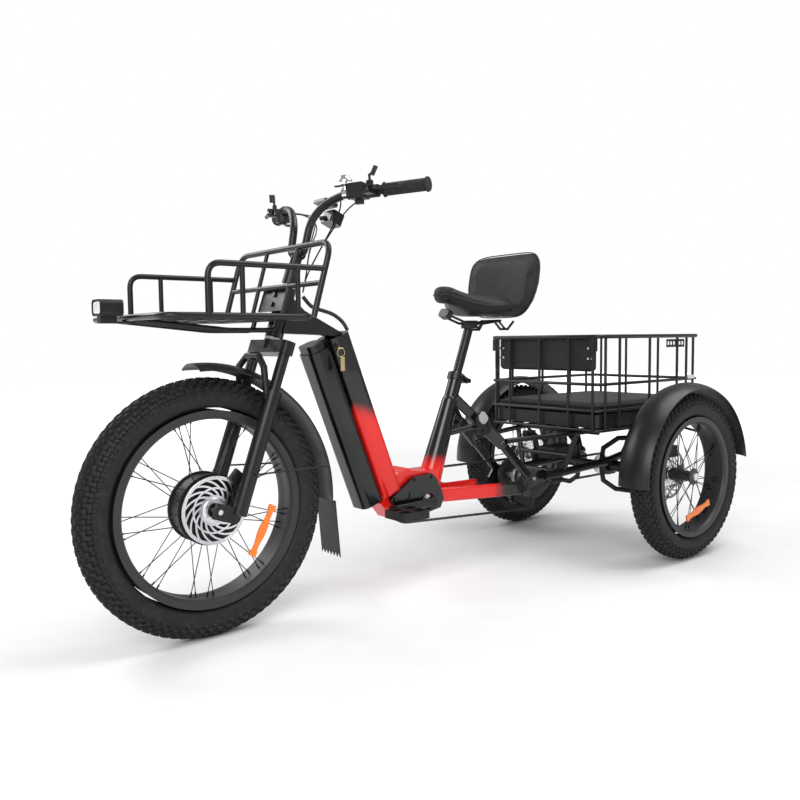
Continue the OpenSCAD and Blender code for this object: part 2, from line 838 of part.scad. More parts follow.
// Faceted cover over the left side of the bottom bracket
module side_cover() {
    x0 = 36 + gap;
    cover_t = 17;
    outline = [
        [bb_y - 150, crank_height + 24], [bb_y - 142, crank_height + 32],
        [bb_y - 58, crank_height + 84], [bb_y + 12, crank_height + 88],
        [bb_y + 33, crank_height + 70], [bb_y + 54, crank_height + 29],
        [bb_y + 63, crank_height + 2], [bb_y + 49, crank_height - 26],
        [bb_y + 7, crank_height - 33], [bb_y - 123, crank_height - 27]
    ];
    color([0.09, 0.09, 0.1]) difference() {
        slab(x0, cover_t) polygon(outline);
        disc_x([x0, bb_y, crank_height], 26, 60);
        on_stay_path(2);
        on_down_tube() translate([0, 0, -gap]) linear_extrude(height = 120)
            round_rect(down_tube_w + 2 * gap, down_tube_depth + 2 * gap, 20);
        disc_x([x0 + cover_t, bb_y - 87, crank_height + 31], 11, 6);
    }
    color("silver") for (p = [[bb_y - 136, crank_height + 24], [bb_y - 56, crank_height + 74],
            [bb_y + 14, crank_height + 76]])
        disc_x([x0 + cover_t + 2 + gap, p[0], p[1]], 5, 4);
}

// Space taken by the left chainstay, grown by a margin
module on_stay_path(margin) {
    beam([32, bb_y + 26 - margin, crank_height + 11],
        [stay_x, jack[1] - 66, jack[2] - 26], 18 + 2 * margin, 46 + 2 * margin, 8);
}

module seat_clamp() {
    color([0.1, 0.1, 0.1]) translate(seat_foot) rotate([-seat_lean, 0, 0]) difference() {
        union() {
            cylinder_from(seat_tube_len - 26, seat_tube_len - 4, 29);
            translate([0, 34, seat_tube_len - 15]) cube([30, 22, 16], center = true);
        }
        cylinder_from(seat_tube_len - 40, seat_tube_len + 10, 23 + gap / 2);
        translate([0, 40, seat_tube_len - 15]) cube([3, 40, 30], center = true);
        translate([0, 37, seat_tube_len - 15]) rotate([0, 90, 0])
            cylinder(h = 60, r = 3.3, center = true);
    }
}

// Quick-release lever of the seat clamp
module qr_lever() {
    color([0.16, 0.16, 0.17]) translate(seat_foot) rotate([-seat_lean, 0, 0])
        translate([0, 37, seat_tube_len - 15]) {
            rotate([0, 90, 0]) cylinder(h = 48, r = 3.2, center = true);
            translate([20 + gap, 0, 0]) rotate([0, 90, 0]) cylinder(h = 8, r = 8);
            run_rod([[27, 0, 1], [33, -18, 2], [38, -48, 4]], 4);
            translate([-22, 0, 0]) rotate([0, 90, 0]) cylinder(h = 5, r = 7, center = true);
        }
}

/* ---------- seat ---------- */

post_top_s = seat_tube_len + 155;

module seat_post() {
    color([0.45, 0.45, 0.47]) translate(seat_foot) rotate([-seat_lean, 0, 0])
        cylinder_from(post_top_s - seat_post_len, post_top_s, seat_post_d / 2);
    head = seat_at(post_top_s);
    color([0.08, 0.08, 0.08]) {
        translate(head + [0, 4, 14]) round_box(42, 46, 26, 8);
        // saddle rails and their springs
        both_sides() {
            run_rod([[20, head[1] - 110, saddle_z - 44], [20, head[1] - 26, saddle_z - 72],
                [24, head[1] + 40, saddle_z - 74], [40, head[1] + 104, saddle_z - 64]], 4);
        }
        rod([-46, head[1] + 104, saddle_z - 64], [46, head[1] + 104, saddle_z - 64], 4.8);
        both_sides() {
            run_rod([[60, head[1] + 60, saddle_z - 66], [64, head[1] + 84, saddle_z - 92],
                [68, head[1] + 116, saddle_z - 92], [72, head[1] + 140, saddle_z - 66]], 4);
            rod([36, head[1] + 104, saddle_z - 64], [66, head[1] + 104, saddle_z - 90], 3.4);
        }
    }
    // rounded bumper under the saddle's nose
    color([0.6, 0.6, 0.6]) translate([0, head[1] - 102, saddle_z - 42])
        rotate([60, 0, 0]) round_box(44, 30, 22, 10);
}

// Sprung saddle: low at the front, broad and dished at the back
module saddle() {
    back = seat_at(post_top_s)[1] + 128;
    front = back - saddle_len;
    half = saddle_w / 2;
    color([0.1, 0.1, 0.1]) {
        hull() {
            translate([0, front + 30, saddle_z + 30]) sphere(r = 24, $fn = 20);
            translate([0, front + 44, saddle_z + 6]) sphere(r = 24, $fn = 20);
            translate([0, front + 120, saddle_z + 12]) sphere(r = 36, $fn = 20);
            for (s = [-1, 1]) {
                translate([s * (half - 30), back - 40, saddle_z - 4]) sphere(r = 30, $fn = 20);
                translate([s * (half - 34), back - 70, saddle_z - 20]) sphere(r = 30, $fn = 20);
                translate([s * 44, front + 130, saddle_z - 16]) sphere(r = 32, $fn = 20);
            }
        }
    }
}

module backrest() {
    back = seat_at(post_top_s)[1] + 128;
    half = backrest_w / 2;
    color([0.12, 0.12, 0.12]) hull() {
        for (s = [-1, 1]) {
            translate([s * (half - 40), back + 58, saddle_z + 132]) sphere(r = 18, $fn = 20);
            translate([s * (half - 17), back + 42, saddle_z + 60]) sphere(r = 16, $fn = 20);
            translate([s * (half - 44), back + 28, saddle_z - 16]) sphere(r = 16, $fn = 20);
        }
        translate([0, back + 70, saddle_z + 146]) sphere(r = 20, $fn = 20);
        translate([0, back + 38, saddle_z - 34]) sphere(r = 18, $fn = 20);
    }
}

/* ---------- front rack and headlight ---------- */

module front_rack() {
    function slat_y(i) = rack_y0 + i * (rack_y1 - rack_y0) / 7;
    rail_z = rack_z + rack_rail_h;
    back_top = rack_z + 192;
    lean_y = (axis_y(back_top) - 52) - rack_y1;
    function back_y(z) = rack_y1 + (z - rack_z) / (back_top - rack_z) * lean_y;
    w = rack_half_w;
    thin = rack_r - 1;
    strut_drop = 31;
    color([0.11, 0.11, 0.11]) {
        // deck frame
        loop_rod([
            [w - 30, rack_y0, rack_z], [30 - w, rack_y0, rack_z], [-w, rack_y0 + 30, rack_z],
            [-w, rack_y1, rack_z], [w, rack_y1, rack_z], [w, rack_y0 + 30, rack_z]
        ], rack_r);
        // slats
        for (i = [1 : 6]) difference() {
            translate([-w, slat_y(i) - 11, rack_z - 4]) cube([2 * w, 22, 6]);
            // holes for the bolts of a box or a bag, in the second and the fifth slat
            if (i % 3 == 2)
                for (x = [-100, 100])
                    translate([x, slat_y(i), rack_z - 10]) cylinder(h = 20, r = 3.3);
        }
        for (x = [-75, 75])
            translate([x - 9, rack_y0, rack_z - 6]) cube([18, rack_y1 - rack_y0, 5]);
        // side rails
        both_sides() {
            run_rod([
                [w, rail_y0, rack_z], [w, rail_y0, rail_z - 28], [w, rail_y0 + 10, rail_z - 8],
                [w, rail_y0 + 30, rail_z], [w, back_y(rail_z), rail_z]
            ], rack_r - 0.6);
            for (y = [88, 240])
                rod([w, rail_y0 + y, rack_z], [w, rail_y0 + y, rail_z], thin - 0.6);
        }
        // tall back frame with a middle rail and two inner uprights
        run_rod([
            [w, rack_y1, rack_z], [w, back_y(back_top - 34), back_top - 34],
            [w - 30, back_y(back_top), back_top], [30 - w, back_y(back_top), back_top],
            [-w, back_y(back_top - 34), back_top - 34], [-w, rack_y1, rack_z]
        ], rack_r);
        rod([-w, back_y(rack_z + 86), rack_z + 86], [w, back_y(rack_z + 86), rack_z + 86], thin);
        both_sides() rod([82, rack_y1, rack_z], [82, back_y(back_top), back_top], thin - 1);
        // struts under the deck
        both_sides() run_rod([
            [62, rack_y0 + 4, rack_z - 6], [62, rack_y0 + 250, rack_z - strut_drop],
            [62, rack_y1 - 4, rack_z - strut_drop]
        ], thin);
        rod([-62, rack_y1 - 12, rack_z - strut_drop], [62, rack_y1 - 12, rack_z - strut_drop],
            thin - 1);
        both_sides()
            rod([62, rack_y1 - 8, rack_z - strut_drop], [62, rack_y1, rack_z], thin - 1.5);
    }
}

// Plate that bolts the rack to the head tube, with its two bolts
module rack_mount() {
    lift = rack_r + 2;
    z0 = rack_z + lift + 1;
    color([0.2, 0.2, 0.2]) on_steering() {
        translate([-70, -head_tube_d / 2 - 8, along(z0)]) cube([140, 5, 72]);
        translate([-12, -head_tube_d / 2 - 4, along(z0) + 6]) cube([24, 4 - gap, 60]);
    }
    color([0.2, 0.2, 0.2]) on_steering() both_sides()
        translate([30, -head_tube_d / 2 - 3 + 0.2, along(z0) + 6]) cube([4, 34, 60]);
    color("silver") on_steering() for (s = [20, 48])
        translate([0, -head_tube_d / 2 - 8 - gap, along(z0) + s]) rotate([90, 0, 0])
            cylinder(h = 5, r = 7);
}

module headlight() {
    y1 = front_y - 212;
    h = 40;
    color([0.1, 0.1, 0.11]) {
        difference() {
            translate([0, y1 - 28, rack_z + 24]) rotate([90, 0, 0]) round_box(62, h, 56, 12);
            translate([0, y1 - 50, rack_z + 24]) rotate([90, 0, 0]) round_box(54, h - 8, 22, 9);
        }
        translate([0, y1 - 30, rack_z - 4]) cube([22, 40, 19], center = true);
        translate([0, y1 - 8, rack_z - rack_r - gap - 2.5]) cube([22, 60, 5], center = true);
    }
    color([0.92, 0.94, 0.96])
        translate([0, y1 - 50, rack_z + 24]) rotate([90, 0, 0])
            round_box(53, h - 9, 6, 8);
}

/* ---------- rear end ---------- */

// Tubes and plates that join the frame to the rear axle and carry the basket
module rear_cradle() {
    rail_x = 96;
    z_low = 208;
    z_top = basket_z - rail_r + 1.5 - 9 - gap;
    out_x = rear_x - 132;
    c_y = rear_y;
    color([0.1, 0.1, 0.1]) {
        both_sides() {
            run_rod([
                [stay_x + 16, jack[1] + 44, jack[2] + 6], [rail_x, jack[1] + 110, jack[2] + 10],
                [rail_x, c_y - 60, rear_r + 22], [rail_x, c_y + 50, rear_r + 40]
            ], 14);
            // top rail under the basket, held by two posts
            run_rod([
                [78, bb_y + 326, 436], [140, basket_y0 + 60, z_top],
                [150, basket_y1 - 70, z_top]
            ], 9);
            rod([rail_x, jack[1] + 130, jack[2] + 12], [140, jack[1] + 150, z_top], 9);
            rod([rail_x, c_y + 40, rear_r + 36], [146, c_y + 60, z_top], 9);
            // hoop that guards the axle
            run_rod([
                [out_x, c_y, rear_r + 26], [out_x - 54, c_y, z_top - 34], [120, c_y - 14, z_top - 44],
                [62, c_y - 26, 360], [50, c_y - 26, 300], [62, c_y - 26, 236],
                [110, c_y - 14, z_low], [out_x - 34, c_y, z_low], [out_x, c_y, rear_r - 26]
            ], 9);
            rod([52, c_y - 26, 304], [rail_x, c_y - 26, rear_r + 27], 8);
        }
        // cross tubes
        for (y = [basket_y0 + 90, basket_y1 - 90])
            rod([-190, y, z_top], [190, y, z_top], 9.3);
        rod([-rail_x, c_y - 90, rear_r + 20], [rail_x, c_y - 90, rear_r + 20], 10);
        rod([-rail_x, jack[1] + 118, jack[2] + 10], [rail_x, jack[1] + 118, jack[2] + 10], 10);
        rod([-112, jack[1] + 138, jack[2] + 70], [112, jack[1] + 138, jack[2] + 70], 8);
    }
}

// Axle tubes with a carrier at each end
module axle_housings() {
    color([0.12, 0.12, 0.12]) for (s = [-1, 1]) difference() {
        union() {
            rod([s * 60, rear_y, rear_r], [s * (rear_x - 84), rear_y, rear_r], 21);
            for (x = [70, rear_x - 110])
                translate([s * x, rear_y, rear_r]) round_plate(16);
            // arm that carries the brake caliper
            beam([s * (rear_x - 108), rear_y - 6, rear_r + 16],
                [s * (rear_x - 90), rear_y - 6, rear_r + 92], 30, 10, 4);
        }
        rod([s * 50, rear_y, rear_r], [s * (rear_x - 76), rear_y, rear_r], axle_d / 2 + 2);
    }
    // ball bearings pressed into the carriers
    color("silver") for (s = [-1, 1], x = [70, rear_x - 110]) difference() {
        disc_x([s * x, rear_y, rear_r], axle_d / 2 + 2 - 0.02, 14);
        disc_x([s * x, rear_y, rear_r], axle_d / 2, 40);
    }
}

// Square carrier plate across the axle
module round_plate(w) {
    rotate([0, 90, 0]) round_box(66, 66, w, 12);
}

module rear_fenders() {
    guard_r = rear_guard;
    color([0.12, 0.12, 0.12]) for (s = [-1, 1]) {
        rear_wheel_at(s) guard(guard_r, rear_guard_w, 98, 271);
        // stays to the cradle, with a wire loop at the back
        rod([s * (rear_x - 56), rear_y - 200, rear_r + sqrt(pow(guard_r + 1, 2) - 40000)],
            [s * (rear_x - 151), rear_y, rear_r + 58], 5);
        rod([s * (rear_x - 56), rear_y + 288, rear_r + sqrt(pow(guard_r + 1, 2) - 82944)],
            [s * 180, basket_y1 - 90, basket_z - 16], 5);
        run_rod([
            [s * (rear_x - 14), rear_y + guard_r - 36, rear_r + 152],
            [s * (rear_x - 14), rear_y + guard_r + 6, rear_r + 168],
            [s * (rear_x - 14), rear_y + guard_r + 10, rear_r + 134],
            [s * (rear_x - 14), rear_y + guard_r - 22, rear_r + 120]
        ], 3);
    }
}

module rear_calipers() {
    color([0.6, 0.6, 0.62]) for (s = [-1, 1])
        translate([s * (rear_x - 62), rear_y - 6, rear_r + 82]) difference() {
            round_box(34, 54, 40, 7);
            translate([0, 0, -8]) cube([4.4, 80, 40], center = true);
        }
}

// Open wire basket
module basket() {
    x = basket_x - rail_r;
    y0 = basket_y0 + rail_r;
    y1 = basket_y1 - rail_r;
    c = 26;
    bar_r = rail_r - 1.5;
    module ring(z, r) {
        loop_rod([
            [x, y0, z], [x, y1 - c, z], [x - c, y1, z],
            [c - x, y1, z], [-x, y1 - c, z], [-x, y0, z]
        ], r);
    }
    color([0.12, 0.12, 0.12]) {
        for (z = [basket_z, floor_z, mid_z]) ring(z, bar_r);
        ring(top_z, rail_r);
        for (fx = [-1, -0.62, -0.045, 0.48, 1])
            rod([fx * x, y0, basket_z], [fx * x, y0, top_z], bar_r - 0.5);
        for (fx = [-0.8, -0.3, 0.3, 0.8])
            rod([fx * x, y1, basket_z], [fx * x, y1, top_z], bar_r - 0.5);
        for (s = [-1, 1], fy = [0.19, 0.48, 0.765, 0.955])
            rod([s * x, y0 + fy * (y1 - y0), basket_z], [s * x, y0 + fy * (y1 - y0), top_z],
                bar_r - 0.5);
        for (fx = [-0.66, -0.33, 0, 0.33, 0.66])
            rod([fx * x, y0, basket_z], [fx * x, y1, basket_z], bar_r - 0.5);
        for (fy = [0.25, 0.5, 0.75])
            rod([-x, y0 + fy * (y1 - y0), basket_z], [x, y0 + fy * (y1 - y0), basket_z],
                bar_r - 0.5);
        // plates for the back pad
        for (s = [-1, 1]) translate([s * (x - 24), y0, top_z - 28])
            cube([34, 4, 44], center = true);
    }
    // latch on the back corner post
    color("silver") translate([x + rail_r + 1, y1 - 60, mid_z + 8]) cube([4, 46, 14], center = true);
}

// Box that the passenger cushion sits on, standing on the floor bars
module cushion_base() {
    inset = basket_rail_d + 3;
    z0 = basket_z + rail_r + 0.5;
    z1 = floor_z - 14;
    color([0.12, 0.12, 0.13])
        translate([0, (basket_y0 + basket_y1) / 2, (z0 + z1) / 2])
            round_box(basket_w - 2 * inset, basket_len - 2 * inset, z1 - z0, 22);
}

module basket_cushions() {
    inset = basket_rail_d + 3;
    z0 = floor_z - 13.5;
    pad_h = 132;
    color([0.5, 0.5, 0.52])
        translate([0, (basket_y0 + basket_y1) / 2, z0 + 18])
            round_box(basket_w - 2 * inset, basket_len - 2 * inset, 36, 34);
    color([0.12, 0.12, 0.13])
        translate([0, basket_y0 + basket_rail_d + 14, top_z + 9 - pad_h / 2])
            cube([basket_w - 60, 22, pad_h], center = true);
}

module controller_box() {
    color([0.08, 0.08, 0.08])
        translate([0, jack[1] + 146 + gap + 65, jack[2] + 70]) round_box(80, 130, 42, 8);
}

/* ---------- drive ---------- */

// Point on a circle at which a straight run leaves it
function normal_angle(c1, c2, r1, r2) =
    let (d = c2 - c1) atan2(d[1], d[0]) + acos((r2 - r1) / norm(d));
function unit(a) = [cos(a), sin(a)];

// Line at a distance d outside a chain's middle, round a list of [centre, signed
// radius]; a negative radius means that the chain passes on the other side of that wheel
function chain_line(wheels, d) = [
    for (i = [0 : len(wheels) - 1])
        let (n = len(wheels), a = wheels[i], b = wheels[(i + 1) % n], z = wheels[(i + n - 1) % n],
            out = normal_angle(a[0], b[0], a[1], b[1]),
            into = normal_angle(z[0], a[0], z[1], a[1]),
            turn = (out - into + 720) % 360,
            steps = a[1] > 0 ? ceil(turn / 7) : ceil((360 - turn) / 7))
            for (k = [0 : steps])
                a[1] > 0
                    ? a[0] + (a[1] + d) * unit(into + 180 + turn * k / steps)
                    : a[0] + (-a[1] - d) * unit(into - (360 - turn) * k / steps)
];

// Closed chain w wide and t thick, drawn as [y, z]
module chain_loop(wheels, x, w, t) {
    slab(x - w / 2, w) difference() {
        polygon(chain_line(wheels, t / 2));
        polygon(chain_line(wheels, -t / 2));
    }
}

module chains() {
    color([0.3, 0.3, 0.32]) {
        chain_loop([
            [[bb_y, crank_height], ring_r], [tension_pulley, pulley_r],
            [guide_pulley, -pulley_r], [[jack[1], jack[2]], cog_r]
        ], chain_x, 7, 7);
        chain_loop([
            [[jack[1], jack[2]], second_r], [[rear_y, rear_r], second_r]
        ], second_x, 7, 7);
    }
}

module crankset() {
    tooth_r = ring_r - 4;
    arm_x = 62;
    color([0.12, 0.12, 0.12]) {
        difference() {
            union() {
                disc_x([chain_x, bb_y, crank_height], tooth_r, 3);
                disc_x([chain_x - 5, bb_y, crank_height], 34, 10);
            }
            disc_x([chain_x, bb_y, crank_height], 8 + run, 80);
            for (i = [0 : 4])
                on_x([chain_x, bb_y, crank_height])
                    rotate([0, 0, i * 72]) translate([54, 0, 0])
                        cylinder(h = 20, r = 15, center = true);
        }
    }
    color("silver") disc_x([0, bb_y, crank_height], 8, 2 * (arm_x + 13));
    color([0.1, 0.1, 0.1]) for (s = [-1, 1]) difference() {
        union() {
            rod([s * arm_x, bb_y, crank_height], [s * (arm_x + 14), bb_y, crank_height], 17);
            beam([s * (arm_x + 9), bb_y, crank_height],
                [s * (arm_x + 24), bb_y - s * crank_len, crank_height], 13, 26, 6);
            disc_x([s * (arm_x + 24), bb_y - s * crank_len, crank_height], 14, 14);
        }
        disc_x([0, bb_y, crank_height], 8 + run, 300);
        disc_x([s * (arm_x + 24), bb_y - s * crank_len, crank_height], 7 + run, 30);
    }
}

// Pedal body on its spindle; side +1 is the rider's left
module pedal(side) {
    p = [side * 86, bb_y - side * crank_len, crank_height];
    color([0.14, 0.14, 0.14]) {
        rod(p - [side * 7, 0, 0], p + [side * 24, 0, 0], 7);
        translate(p + [side * 66, 0, 0]) difference() {
            cube([90, 96, 24], center = true);
            for (x = [-22, 22], y = [-26, 26])
                translate([x, y, 0]) cube([30, 34, 40], center = true);
        }
        rod(p + [side * 20, 0, 0], p + [side * 108, 0, 0], 10);
    }
}

// Sprockets of the middle shaft, stepped from large to small
module cassette() {
    color([0.75, 0.75, 0.76]) difference() {
        union() {
            disc_x([chain_x, jack[1], jack[2]], cog_r - 4, 3);
            for (i = [1 : 3]) {
                disc_x([chain_x + 5 * i + 0.2, jack[1], jack[2]], cog_r + 3 * i, 2);
                disc_x([chain_x + 5 * i - 4, jack[1], jack[2]], 22, 5);
            }
            for (i = [1 : 2]) {
                disc_x([chain_x - 4.5 * i, jack[1], jack[2]], cog_r - 10 * i, 2);
            }
            disc_x([chain_x - 2, jack[1], jack[2]], 20, 14);
        }
        disc_x([chain_x, jack[1], jack[2]], 11 + run, 60);
    }
}

// Middle shaft with the sprocket of the second chain
module jack_sprocket() {
    color([0.6, 0.6, 0.62]) {
        disc_x([0, jack[1], jack[2]], 6, 2 * stay_x + 16);
        disc_x([0, jack[1], jack[2]], 11, 2 * stay_x - 16);
        disc_x([second_x, jack[1], jack[2]], second_r - 4, 3);
        disc_x([second_x - 26, jack[1], jack[2]], 26, 20);
    }
}

module derailleur() {
    x = chain_x;
    hanger_x = -stay_x - 10 - gap;
    color([0.5, 0.5, 0.52]) difference() {
        union() {
            rod([hanger_x, jack[1] + 22, jack[2] - 4], [hanger_x, jack[1] + 22, jack[2] - 46], 6);
            beam([hanger_x, jack[1] + 22, jack[2] - 40],
                [x - 19, guide_pulley[0], guide_pulley[1] + 8], 10, 16, 4);
            disc_x([x - 17, guide_pulley[0], guide_pulley[1]], 12, 9);
        }
        disc_x([x - 17, guide_pulley[0], guide_pulley[1]], 5 + run, 20);
    }
}

// Sprung cage with its two jockey wheels
module derailleur_cage() {
    color([0.7, 0.7, 0.72]) {
        for (s = [-1, 1])
            slab(chain_x + s * 7 - 1, 2) {
                hull_2(guide_pulley, tension_pulley, 13);
            }
        for (p = [guide_pulley, tension_pulley])
            disc_x([chain_x, p[0], p[1]], 5, 12.4);
        disc_x([chain_x - 13, guide_pulley[0], guide_pulley[1]], 5, 14);
    }
    color([0.1, 0.1, 0.1]) for (p = [guide_pulley, tension_pulley]) difference() {
        disc_x([chain_x, p[0], p[1]], pulley_r - 4, 3);
        disc_x([chain_x, p[0], p[1]], 5 + run, 20);
    }
}

// Flat bar with round ends between two points
module hull_2(a, b, r) {
    d = b - a;
    translate(a) circle(r = r);
    translate(b) circle(r = r);
    translate((a + b) / 2) rotate(atan2(d[1], d[0])) square([norm(d), 2 * r], center = true);
}

/* ---------- cables ---------- */

// Thick loop of cables behind the head tube, on its way from the bar to the frame
cable_points = [
    [14, 34, 148], [16, 60, 119], [20, 92, 111], [24, 128, 101], [28, 158, 79], [30, 172, 55]
];

module cable_loop() {
    color([0.06, 0.06, 0.06]) run_rod(
        [for (p = cable_points) [p[0] + 22, axis_y(crown_z + 148) + p[1], crown_z + p[2]]], 6);
}

main_frame();
rear_cradle();
axle_housings();
bearings();
stay_plates();
battery();
side_cover();
front_rack();
rack_mount();
headlight();
basket();
basket_cushions();
cushion_base();
rear_fenders();
rear_calipers();
chains();
derailleur();
controller_box();
seat_clamp();
cable_loop();
key_ring();
fork_crown();
stem();
handlebar();
grips();
lever_clamps();
control_box();
display();
bell();
shifter_pod();
brake_lever(1);  // brake_lever_left
brake_lever(-1);  // brake_lever_right
park_catch(1);  // park_catch_left
park_catch(-1);  // park_catch_right
shift_lever();
throttle_lever();
bell_lever();
horn_button();
fork_lowers();
front_fender();
front_caliper();
front_tyre();
front_rim();
hub_motor();
rear_tyre(1);  // rear_tyre_left
rear_rim(1);  // rear_rim_left
rear_hub(1, 46, false);  // rear_hub_left
rear_tyre(-1);  // rear_tyre_right
rear_rim(-1);  // rear_rim_right
rear_hub(-1, -42, true);  // rear_hub_right
crankset();
pedal(1);  // pedal_left
pedal(-1);  // pedal_right
cassette();
jack_sprocket();
derailleur_cage();
seat_post();
saddle();
backrest();
qr_lever();
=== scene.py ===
"""Looks of a fat-tyre cargo tricycle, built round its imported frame.

Every length is in metres in the frame's own axes: the machine faces -Y, +X is the
rider's left and +Z is up.
"""
import json
import logging
import math
from dataclasses import dataclass, field
from enum import Enum

import bmesh
import bpy
import numpy as np
from mathutils import Matrix, Vector


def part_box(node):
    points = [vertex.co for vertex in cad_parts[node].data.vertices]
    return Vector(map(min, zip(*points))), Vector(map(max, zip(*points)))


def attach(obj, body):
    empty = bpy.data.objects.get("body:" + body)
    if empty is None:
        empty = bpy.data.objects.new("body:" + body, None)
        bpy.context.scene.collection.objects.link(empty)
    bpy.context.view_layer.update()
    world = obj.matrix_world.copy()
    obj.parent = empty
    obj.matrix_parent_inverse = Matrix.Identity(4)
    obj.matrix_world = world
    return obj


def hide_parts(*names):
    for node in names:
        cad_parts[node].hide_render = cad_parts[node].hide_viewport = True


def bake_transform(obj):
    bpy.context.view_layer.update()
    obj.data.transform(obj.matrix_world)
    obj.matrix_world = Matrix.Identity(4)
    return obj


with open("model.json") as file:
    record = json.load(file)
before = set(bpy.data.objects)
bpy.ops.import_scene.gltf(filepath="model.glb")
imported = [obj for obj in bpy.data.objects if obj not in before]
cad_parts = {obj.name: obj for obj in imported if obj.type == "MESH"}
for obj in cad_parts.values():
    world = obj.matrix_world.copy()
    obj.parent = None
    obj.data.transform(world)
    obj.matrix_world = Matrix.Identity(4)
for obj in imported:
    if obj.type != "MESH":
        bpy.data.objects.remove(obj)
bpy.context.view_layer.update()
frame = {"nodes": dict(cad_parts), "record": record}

LOG = logging.getLogger("tricycle")
PIVOTS = {j["name"]: np.array(j["pos_m"]) for j in frame["record"]["behaviour"]["joints"]
          if j.get("pos_m")}


def box_of(node: str) -> tuple[np.ndarray, np.ndarray]:
    """Lowest and highest corner of a CAD node as arrays.

    Args:
        node: name of the CAD node.

    Returns:
        The two corners.
    """
    low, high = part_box(node)
    return np.array(low), np.array(high)


# ---------------------------------------------------------------- shader maths

class Num:
    """A value socket that can be used in arithmetic."""

    def __init__(self, paint: "Paint", socket: bpy.types.NodeSocket) -> None:
        """Wraps one socket of a paint's node tree."""
        self.paint, self.socket = paint, socket

    def _math(self, operation: str, first: object, second: object = 0.0) -> "Num":
        """Adds one Math node and returns its result."""
        n = self.paint.node("ShaderNodeMath", {"operation": operation}, {0: first, 1: second})
        return Num(self.paint, n.outputs[0])

    def __add__(self, other: object) -> "Num":
        """Sum."""
        return self._math("ADD", self, other)

    def __sub__(self, other: object) -> "Num":
        """Difference."""
        return self._math("SUBTRACT", self, other)

    def __rsub__(self, other: object) -> "Num":
        """Reflected difference."""
        return self._math("SUBTRACT", other, self)

    def __mul__(self, other: object) -> "Num":
        """Product."""
        return self._math("MULTIPLY", self, other)

    __radd__ = __add__
    __rmul__ = __mul__

    def power(self, exponent: float) -> "Num":
        """The value raised to a power."""
        return self._math("POWER", self, exponent)

    def step(self, low: float, high: float) -> "Num":
        """Smooth step from 0 at low to 1 at high."""
        n = self.paint.node("ShaderNodeMapRange", {"interpolation_type": "SMOOTHSTEP"},
                            {0: self, 1: low, 2: high, 3: 0.0, 4: 1.0})
        return Num(self.paint, n.outputs[0])


class Paint:
    """One material under construction."""

    def __init__(self, name: str) -> None:
        """Starts a material with a Principled shader on its output."""
        self.material = bpy.data.materials.new(name)
        self.material.use_nodes = True
        self.tree = self.material.node_tree
        self.tree.nodes.clear()
        self.shader = self.node("ShaderNodeBsdfPrincipled")
        out = self.node("ShaderNodeOutputMaterial")
        self.tree.links.new(self.shader.outputs[0], out.inputs[0])

    def node(self, kind: str, settings: dict | None = None,
             values: dict | None = None) -> bpy.types.Node:
        """Adds a node.

        Args:
            kind: the node's type.
            settings: attributes, set first; "stops" is a ramp's list of (place, colour).
            values: numbers, colours or links for its sockets, by name or number.

        Returns:
            The node.
        """
        n = self.tree.nodes.new(kind)
        for key, value in (settings or {}).items():
            if key == "stops":
                for i, (place, colour) in enumerate(value):
                    e = n.color_ramp.elements[i] if i < 2 else n.color_ramp.elements.new(place)
                    e.position, e.color = place, (*colour, 1.0)
            else:
                setattr(n, key, value)
        for key, value in (values or {}).items():
            self.feed(n.inputs[key], value)
        return n

    def feed(self, socket: bpy.types.NodeSocket, value: object) -> None:
        """Links or sets one socket."""
        if isinstance(value, Num):
            value = value.socket
        if isinstance(value, bpy.types.NodeSocket):
            self.tree.links.new(value, socket)
        else:
            socket.default_value = value

    def point(self) -> bpy.types.NodeSocket:
        """Place on the piece in metres."""
        return self.node("ShaderNodeTexCoord").outputs["Object"]

    def axes(self) -> list[Num]:
        """The three parts of the place on the piece."""
        n = self.node("ShaderNodeSeparateXYZ", None, {0: self.point()})
        return [Num(self, s) for s in n.outputs]

    def noise(self, scale: float, detail: float = 3.0, stretch: tuple = (1, 1, 1)) -> Num:
        """Smooth noise with features about 1/scale metres across."""
        m = self.node("ShaderNodeMapping", None, {"Vector": self.point(), "Scale": stretch})
        n = self.node("ShaderNodeTexNoise", None,
                      {"Vector": m.outputs[0], "Scale": scale, "Detail": detail})
        return Num(self, n.outputs[0])

    def cells(self, scale: float) -> Num:
        """Distance to the edge of small cells, as between grains of leather."""
        n = self.node("ShaderNodeTexVoronoi", {"feature": "DISTANCE_TO_EDGE"},
                      {"Vector": self.point(), "Scale": scale})
        return Num(self, n.outputs[0])

    def mix(self, share: object, first: object, second: object) -> bpy.types.NodeSocket:
        """Colour between two colours."""
        n = self.node("ShaderNodeMix", {"data_type": "RGBA"}, {0: share, 6: first, 7: second})
        return n.outputs[2]

    def relief(self, height: object, depth: float, strength: float = 1.0) -> None:
        """Raises the surface by a height map."""
        n = self.node("ShaderNodeBump", None,
                      {"Strength": strength, "Distance": depth, "Height": height})
        self.feed(self.shader.inputs["Normal"], n.outputs[0])

    def surface(self, colour: object, rough: object, metal: float = 0.0, coat: float = 0.0) -> None:
        """Sets the shader's main sockets."""
        for key, value in (("Base Color", colour), ("Roughness", rough), ("Metallic", metal),
                           ("Coat Weight", coat)):
            self.feed(self.shader.inputs[key], value)


def rgb(value: tuple) -> tuple:
    """Colour with its alpha."""
    return (*value, 1.0)


